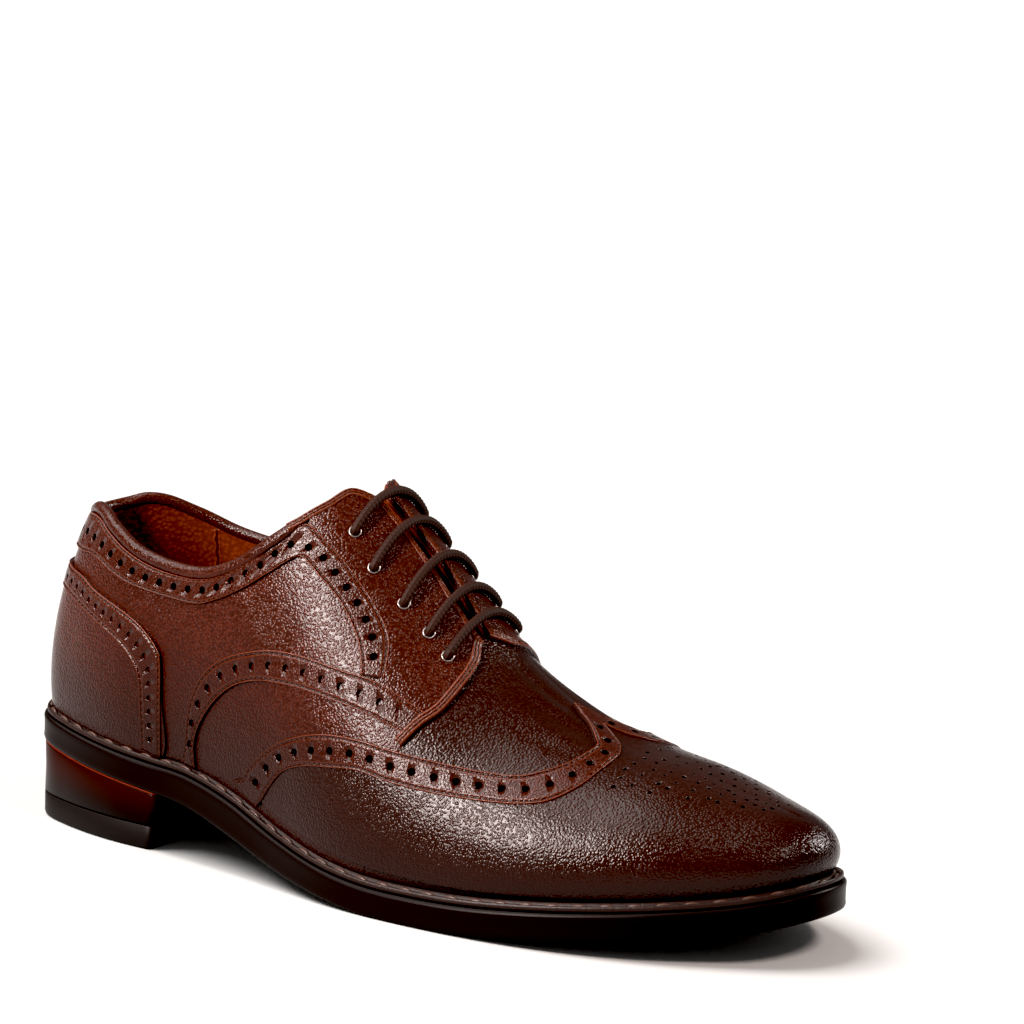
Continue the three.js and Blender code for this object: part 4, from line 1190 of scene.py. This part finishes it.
def medallion(seed):
    """Loose rows of small holes over the toe, narrowing to its tip."""
    scatter = np.random.default_rng(seed)
    rows = np.linspace(MEDALLION_HEEL, MEDALLION_TOE, MEDALLION_ROWS)
    places = []
    for n, at in enumerate(rows):
        half = MEDALLION_HALF * (1 - 0.55 * n / len(rows))
        line = curve_through([(at, -half), (at, 0), (at, half)], 41)
        count = max(3, int(length_of(line) / MEDALLION_PITCH))
        share = (np.arange(count) + 0.5 + 0.5 * (n % 2 - 0.5)) / count
        across = -half + 2 * half * share + scatter.normal(0, 0.008, count)
        places += list(zip(at + scatter.normal(0, 0.03, count), across))
    places = np.array(places)
    return places, scatter.uniform(0.45, 0.85, len(places))


medallion_places, medallion_radii = medallion(MEDALLION_SEED)
punch(wing, medallion_places, medallion_radii, OVERLAY_TOP, MEDALLION_DEPTH)

# The counter: an overlay of calf round the heel, sewn over the quarters to stiffen them, with a
# narrow punched band along its edge.
COUNTER_SEAM = [
    (0, 0.44), (1.0, 0.428), (2.07, 0.388), (2.47, 0.355), (3.13, 0.305), (3.46, 0.268), (3.68, 0.225),
]


def counter_field(side, along=81, upward=41):
    return filled(
        curve_through(sided([(0, 0), (1.5, 0), (3.0, 0)], side), along),
        curve_through(sided(COUNTER_SEAM, side), along),
        curve_through(sided([(0, 0), (0, 0.2), (0, 0.44)], side), upward),
        curve_through(sided([(3.0, 0), (3.73, 0.0), (3.74, 0.122), (3.68, 0.225)], side), upward))


leather_sheet(
    "counter", [counter_field(-1), counter_field(1)], OVERLAY_TOP, OVERLAY_UNDER,
    ["heel_counter"], calf, heel_seam=True)

COUNTER_BAND = [
    ((0.0, 0.44), (0.0, 0.37)), ((1.0, 0.428), (0.9, 0.36)), ((1.5, 0.412), (1.40, 0.348)),
    ((2.07, 0.388), (1.9, 0.325)), ((2.47, 0.355), (2.35, 0.295)), ((3.13, 0.305), (2.93, 0.248)),
    ((3.46, 0.268), (3.2, 0.215)), ((3.68, 0.225), (3.37, 0.18)), ((3.73, 0.185), (3.43, 0.15)),
    ((3.74, 0.122), (3.44, 0.112)), ((3.74, 0.06), (3.45, 0.06)), ((3.73, 0.0), (3.45, 0.005)),
]
brogued_band(
    "counter_band", [band_lines(COUNTER_BAND, side, 180) for side in (-1, 1)], BAND_TOP, BAND_UNDER,
    pitch=4.6, hole=1.8, joined="heel")

# The low band: a punched strip of calf sewn to the quarter. It rises from the sole in an arch and
# runs forward to the eyestay's tab.
LOW_BAND_TOP = 0.95
SUNK_BAND_UNDER = -0.3
QUARTER_BAND = [
    ((4.0, 0.003), (4.2, 0.003)), ((4.06, 0.04), (4.19, 0.045)), ((4.12, 0.118), (4.26, 0.088)),
    ((4.24, 0.177), (4.43, 0.14)), ((4.47, 0.225), (4.66, 0.185)), ((4.86, 0.27), (4.96, 0.223)),
    ((5.19, 0.313), (5.23, 0.254)), ((5.5, 0.356), (5.56, 0.296)), ((5.82, 0.401), (5.9, 0.338)),
    ((6.03, 0.432), (6.14, 0.362)), ((6.23, 0.456), (6.33, 0.379)), ((6.64, 0.49), (6.56, 0.395)),
]
brogued_band(
    "quarter_band", [band_lines(QUARTER_BAND, side, 180) for side in (-1, 1)], LOW_BAND_TOP,
    SUNK_BAND_UNDER, pitch=7.3, hole=2.5)

# The collar band: a punched strip of calf sewn round the top line from the back of the heel, which
# turns down along the rear edge of the eyestays.
COLLAR_BAND_TOP = 1.0
ROLL_REACH = 3.5
EYESTAY_FROM = 4.75
COLLAR_BAND = [
    (0, 0.49), (1.0, 0.478), (1.68, 0.46), (2.24, 0.444), (2.83, 0.395), (3.28, 0.365), (4.02, 0.337),
    (4.36, 0.35), (4.66, 0.385),
]
EYESTAY_BAND = [
    ((4.93, 0.50), (4.92, 0.44)), ((5.06, 0.556), (5.08, 0.49)), ((5.17, 0.612), (5.21, 0.529)),
    ((5.42, 0.621), (5.42, 0.53)), ((5.69, 0.624), (5.68, 0.529)), ((5.99, 0.605), (5.88, 0.501)),
    ((6.16, 0.562), (5.97, 0.467)), ((6.22, 0.473), (6.02, 0.432)),
]


def collar_band_lines(side):
    edge = curve_through(sided(COLLAR[:9], side), 41)
    under_roll = moved_over(edge, -ROLL_REACH, side)
    under_roll[0, 0] = 0
    before_eyestay = under_roll[under_roll[:, 0] < EYESTAY_FROM][::4]
    upper = np.concatenate([before_eyestay, sided([pair[0] for pair in EYESTAY_BAND], side)])
    lower = np.concatenate([sided(COLLAR_BAND, side), sided([pair[1] for pair in EYESTAY_BAND], side)])
    return curve_through(lower, 260), curve_through(upper, 260)


brogued_band(
    "collar_band_strip", [collar_band_lines(side) for side in (-1, 1)], COLLAR_BAND_TOP,
    SUNK_BAND_UNDER, pitch=6.3, hole=2.5, joined="heel")

# The eyestays: two panels of calf sewn over the quarters to carry the eyelets, each ending in a
# rounded tab over the vamp.
FACING_REAR = [
    (5.2, 0.6), (5.42, 0.608), (5.69, 0.61), (5.96, 0.59), (6.12, 0.55), (6.17, 0.47), (6.3, 0.42),
    (6.52, 0.36),
]


def facing_field(side, along=81, upward=41):
    top = [(5.16, 0.655), (5.26, 0.715), (5.39, 0.825)]
    if side < 0:
        top = np.concatenate([sided(top, -1), sided(THROAT_OUTER, -1)])
        front = sided(TAB_EDGE + [(6.72, 0.852)], -1)
    else:
        top = np.concatenate([sided(top, 1), sided(THROAT_INNER, -1)])
        front = np.concatenate([sided(TAB_EDGE[:4], 1), FRONT_OVER_RIDGE])
    return filled(
        curve_through(sided(FACING_REAR, side), along), curve_through(top, along),
        curve_through(sided([(5.2, 0.60), (5.18, 0.63), (5.16, 0.655)], side), upward),
        curve_through(front, upward))


facing_outer = leather_sheet(
    "eyestay_outer", [facing_field(-1)], OVERLAY_TOP, OVERLAY_UNDER,
    ["facing_outer"], calf)
facing_inner = leather_sheet(
    "eyestay_inner", [facing_field(1)], OVERLAY_TOP, OVERLAY_UNDER,
    ["facing_inner"], calf)

# The bindings: narrow folded strips of calf with two rows of small stitches, sewn along the front
# of the top line, the throat and the tabs.
BINDING_TOP = 1.15
BINDING_UNDER = 0.3
BINDING_STITCH_HEIGHT = 0.98
TAB_WIDTH = 3.4
THROAT_WIDTH = 2.0
TOP_WIDTH = 2.8


def edge_binding(name, line, width, side):
    """A narrow stitched binding inside a line of places."""
    pair = (moved_over(line, -width, side), line)
    strip(name, [pair], beaded(BINDING_TOP), BINDING_UNDER, calf_trim)
    rows = [(across_pair(*pair, share=share), BINDING_STITCH_HEIGHT) for share in (0.34, 0.66)]
    points, faces = stitch_row(rows, pitch=1.9, length=1.3, thickness=0.36)
    make_piece(name + "_stitches", points, faces, material=stitch_thread, loose=True)


top_outer = curve_through(sided([(4.98, 0.575)] + COLLAR[9:] + THROAT_OUTER[:1], -1), 90)
edge_binding("top_binding_outer", top_outer, TOP_WIDTH, -1)
top_inner = curve_through(sided([(4.98, 0.575)] + COLLAR[9:] + [(5.48, 0.9), (5.57, 0.965)], 1), 90)
edge_binding("top_binding_inner", top_inner, TOP_WIDTH, 1)
tab_front = sided(TAB_EDGE + [(6.72, 0.852)], -1)
edge_binding("tab_binding_outer", curve_through(tab_front, 90), TAB_WIDTH, 1)
throat_outer = curve_through(sided(THROAT_OUTER, -1), 90)
edge_binding("throat_binding_outer", throat_outer, THROAT_WIDTH, -1)
tab_inner = curve_through(np.concatenate([sided(TAB_EDGE[:4], 1), FRONT_OVER_RIDGE]), 90)
edge_binding("tab_binding_inner", tab_inner, TAB_WIDTH, -1)
throat_inner = curve_through(sided(THROAT_INNER, -1), 90)
edge_binding("throat_binding_inner", throat_inner, THROAT_WIDTH, 1)

# The collar: a padded roll of soft leather turned over the top edge and sewn down inside. It thins
# towards the eyestays.
ROLL_SIZE = 0.78
ROLL_PIVOT = 0.8
ROLL_THINS_AT = 4.9
ROLL_THINS_OVER = 0.4
ROLL_THINNING = 0.45
COLLAR_ROLL = ROLL_SIZE * np.array([
    (4.6, 0.35), (4.2, 1.0), (3.2, 1.55), (2.0, 1.75), (0.8, 1.5), (-0.2, 0.8), (-0.8, -0.3),
    (-0.9, -1.3), (-0.6, -2.3), (0.3, -3.1), (1.6, -3.5), (3.0, -3.3), (4.2, -2.7), (4.6, -2.2),
])


def roll_along(line, size):
    """A padded edge round a line of places; size scales its section along the way."""
    rings, marks = [], []
    for below, height in COLLAR_ROLL:
        places = moved_over(line, -below * size, 1)
        rings.append(on_last(places, (height + ROLL_PIVOT) * size - ROLL_PIVOT))
        marks.append(last_uv(places))
    return np.stack(rings, 1), np.stack(marks, 1)


collar_lines = [curve_through(sided(COLLAR, side), 201) for side in (-1, 1)]
collar_lines = [collar_lines[0][::-1], collar_lines[1][1:]]
rolls = []
for line in collar_lines:
    size = 1 - ROLL_THINNING * np.clip((line[:, 0] - ROLL_THINS_AT) / ROLL_THINS_OVER, 0, 1)
    rolls.append(roll_along(line, size))
roll_points = np.concatenate([points for points, _ in rolls])
roll_marks = np.concatenate([marks for _, marks in rolls])
count, ring = roll_points.shape[:2]
roll_faces = grid_faces(count, ring, around=True)
roll_faces += [tuple(range(ring)), tuple(range((count - 1) * ring, count * ring))]
make_piece(
    "collar_roll", roll_points, roll_faces, ["collar_band"], roll_marks, calf_trim)

# The tongue: a flap of soft calf that closes the throat from inside, sewn in at its toe end under
# the vamp. It lies deeper under the throat, where the lace runs over it.
TONGUE_OUTER = [
    (5.48, -0.24), (5.54, -0.32), (5.75, -0.39), (6.1, -0.42), (6.6, -0.4), (7.1, -0.36), (7.6, -0.26),
]
TONGUE_INNER = [
    (5.48, 0.12), (5.54, 0.28), (5.75, 0.36), (6.1, 0.4), (6.6, 0.38), (7.1, 0.34), (7.6, 0.26),
]
TONGUE_THICK = 1.8
TONGUE_UNDER_VAMP = 2.7
TONGUE_DROP = 4.1
TONGUE_RISES_AT = 6.72
TONGUE_RISE = 0.53


def tongue_height(at):
    f = np.clip((at - TONGUE_RISES_AT) / TONGUE_RISE, 0, 1)
    return -TONGUE_UNDER_VAMP - TONGUE_DROP * (1 - f * f * (3 - 2 * f))


tongue_edges = [curve_through(line, 81)[:, None] for line in (TONGUE_OUTER, TONGUE_INNER)]
share = np.linspace(0, 1, 31)[None, :, None]
tongue_places = tongue_edges[0] * (1 - share) + tongue_edges[1] * share
tongue_top = tongue_height(tongue_places[..., 0])
leather_sheet(
    "tongue_flap", [tongue_places], tongue_top, tongue_top - TONGUE_THICK, ["tongue"],
    calf, round_edge=0.7)

# The eyelets: ten rings of nickel-plated brass, each set through eyestay, quarter and lining and
# rolled over on both faces. A row of their section is a radius and a height.
EYELETS_OUTER = [(5.57, 0.72), (5.82, 0.69), (6.14, 0.687), (6.39, 0.687), (6.58, 0.683)]
EYELETS_INNER = [(5.62, 0.74), (5.87, 0.74), (6.15, 0.74), (6.4, 0.745), (6.6, 0.74)]
EYELET_RING = np.array([
    (1.35, -1.6), (1.6, -1.6), (1.62, 0.8), (2.0, 0.85), (2.1, 1.0), (2.0, 1.2), (1.75, 1.28), (1.5, 1.2),
    (1.35, 1.0),
])
EYELET_HOLE = 1.7

# For each leather, the height at which its hole starts and the hole's depth.
EYESTAY_CUT = (0.9, 1.2)
QUARTER_CUT = (0.1, 1.5)
LINING_CUT = (-1.2, 1.5)

# Nickel plating on stamped brass: a warm grey mirror, a little dulled.
silver = new_material("nickel-plated brass")
silver_shader = add_node(
    silver, "BsdfPrincipled", Base_Color=linear("#8F8884"), Metallic=1.0, Roughness=0.3)
add_node(silver, "OutputMaterial", Surface=silver_shader.outputs["BSDF"])


def disc_frame(place):
    """Centre, two directions along the leather and the direction out of it at one place."""
    place = np.array([place], dtype=float)
    forward, _ = slopes_there(place[:, 0], place[:, 1])
    out = outward(place[:, 0], place[:, 1])[0]
    first = forward[0] / np.linalg.norm(forward[0])
    second = np.cross(out, first)
    return on_last(place, 0)[0], first, second / np.linalg.norm(second), out


def eyelet(name, place, node):
    centre, first, second, out = disc_frame(place)
    turns = np.linspace(0, 2 * np.pi, 32, endpoint=False)[:, None, None]
    around = np.cos(turns) * first + np.sin(turns) * second
    points = centre + around * EYELET_RING[None, :, :1] + out * EYELET_RING[None, :, 1:]
    make_piece(name, points, ring_faces(*points.shape[:2]), [node], material=silver)


for i in range(len(EYELETS_OUTER)):
    eyelet(f"ring_outer_{i + 1}", sided(EYELETS_OUTER, -1)[i], f"eyelet_outer_{i + 1}")
    eyelet(f"ring_inner_{i + 1}", sided(EYELETS_INNER, 1)[i], f"eyelet_inner_{i + 1}")

for eyestay, row, side in ((facing_outer, EYELETS_OUTER, -1), (facing_inner, EYELETS_INNER, 1)):
    holes = sided(row, side)
    punch(eyestay, holes, EYELET_HOLE, *EYESTAY_CUT)
    punch(quarters, holes, EYELET_HOLE, *QUARTER_CUT)
    punch(lining, holes, EYELET_HOLE, *LINING_CUT)

# The lace: one round braided cord of waxed cotton with five bars over the throat. From each bar it
# goes down an eyelet and up the next on that side, and both its ends stop inside the shoe.
LACE = 3.0
BRAID_PITCH = 3.2
BRAID_STRANDS = 4
BRAID_DEPTH = 0.12
LACE_INSIDE = -4.3
LACE_OVER = 2.4
LACE_STEP = 0.3
LACE_SIDES = 32
leg_heights = np.array([LACE_INSIDE, -2.0, 0.2, 1.9])
bar_shares = np.array([0.12, 0.3, 0.5, 0.7, 0.9])
lace_path = []
for i in range(len(EYELETS_OUTER)):
    outer, inner = sided(EYELETS_OUTER, -1)[i], sided(EYELETS_INNER, 1)[i]
    between = outer + (inner - outer) * bar_shares[:, None]
    bar = np.concatenate([
        on_last(np.tile(outer, (len(leg_heights), 1)), leg_heights),
        on_last(between, LACE_OVER),
        on_last(np.tile(inner, (len(leg_heights), 1)), leg_heights)[::-1]])
    if i % 2:
        bar = bar[::-1]
    lace_path.append(bar)
    if i < len(EYELETS_OUTER) - 1:
        row = EYELETS_OUTER if i % 2 else EYELETS_INNER
        side = -1 if i % 2 else 1
        middle = (sided(row, side)[i] + sided(row, side)[i + 1]) / 2
        lace_path.append(on_last(middle[None], LACE_INSIDE))
lace_path = np.concatenate(lace_path)


def smooth_path(points, spacing):
    """A centripetal curve through points, then even steps along it."""
    curve = []
    padded = np.concatenate([[2 * points[0] - points[1]], points, [2 * points[-1] - points[-2]]])
    for a, b, c, d in zip(padded, padded[1:], padded[2:], padded[3:]):
        t = np.cumsum([0] + [np.linalg.norm(q - p) ** 0.5 for p, q in ((a, b), (b, c), (c, d))])
        s = np.linspace(t[1], t[2], 24, endpoint=False)[:, None]
        ab = (t[1] - s) / (t[1] - t[0]) * a + (s - t[0]) / (t[1] - t[0]) * b
        bc = (t[2] - s) / (t[2] - t[1]) * b + (s - t[1]) / (t[2] - t[1]) * c
        cd = (t[3] - s) / (t[3] - t[2]) * c + (s - t[2]) / (t[3] - t[2]) * d
        abc = (t[2] - s) / (t[2] - t[0]) * ab + (s - t[0]) / (t[2] - t[0]) * bc
        bcd = (t[3] - s) / (t[3] - t[1]) * bc + (s - t[1]) / (t[3] - t[1]) * cd
        curve.append((t[2] - s) / (t[2] - t[1]) * abc + (s - t[1]) / (t[2] - t[1]) * bcd)
    curve = np.concatenate(curve + [points[-1:]])
    run = np.concatenate([[0], np.cumsum(np.linalg.norm(np.diff(curve, axis=0), axis=1))])
    even = np.linspace(0, run[-1], int(run[-1] / spacing))
    return np.stack([np.interp(even, run, curve[:, i]) for i in range(3)], -1)


def tube(path, radius, sides):
    """Rings square to a path, their surface raised where the strands of a braid cross."""
    along = np.gradient(path, axis=0)
    along /= np.linalg.norm(along, axis=1, keepdims=True)
    first = np.cross(along[0], [0, 0, 1.0])
    run = np.concatenate([[0], np.cumsum(np.linalg.norm(np.diff(path, axis=0), axis=1))])
    rings = []
    turns = np.linspace(0, 2 * np.pi, sides, endpoint=False)[:, None]
    for centre, forward, far in zip(path, along, run):
        first = first - forward * first.dot(forward)
        first /= np.linalg.norm(first)
        second = np.cross(forward, first)
        twist = 2 * np.pi * far / BRAID_PITCH
        braid = np.sin(BRAID_STRANDS * turns + twist) * np.sin(BRAID_STRANDS * turns - twist)
        rings.append(centre + radius * (1 + BRAID_DEPTH * braid) * (
            np.cos(turns) * first + np.sin(turns) * second))
    return np.stack(rings)


# Cotton cord, braided and waxed: dark brown and dull, its braid in the mesh itself.
cord = new_material("waxed cotton cord")
cord_shader = add_node(
    cord, "BsdfPrincipled", Base_Color=linear("#24140F"), Roughness=0.6, Specular_IOR_Level=0.1)
add_node(cord, "OutputMaterial", Surface=cord_shader.outputs["BSDF"])
rings = tube(smooth_path(lace_path, LACE_STEP), LACE / 2, LACE_SIDES)
rows, columns = rings.shape[:2]
lace_faces = grid_faces(rows, columns, around=True)
lace_faces += [tuple(range(columns)), tuple(range((rows - 1) * columns, rows * columns))]
make_piece("lace_cord", rings, lace_faces, ["lace"], material=cord)

# The insole's sock: a sheet of tan lining leather glued over the insole once the last is out. The
# insole keeps its own plain shape and takes the sock's leather.
insole = bpy.data.objects["insole"]
insole.data.materials.clear()
insole.data.materials.append(calf_orange)
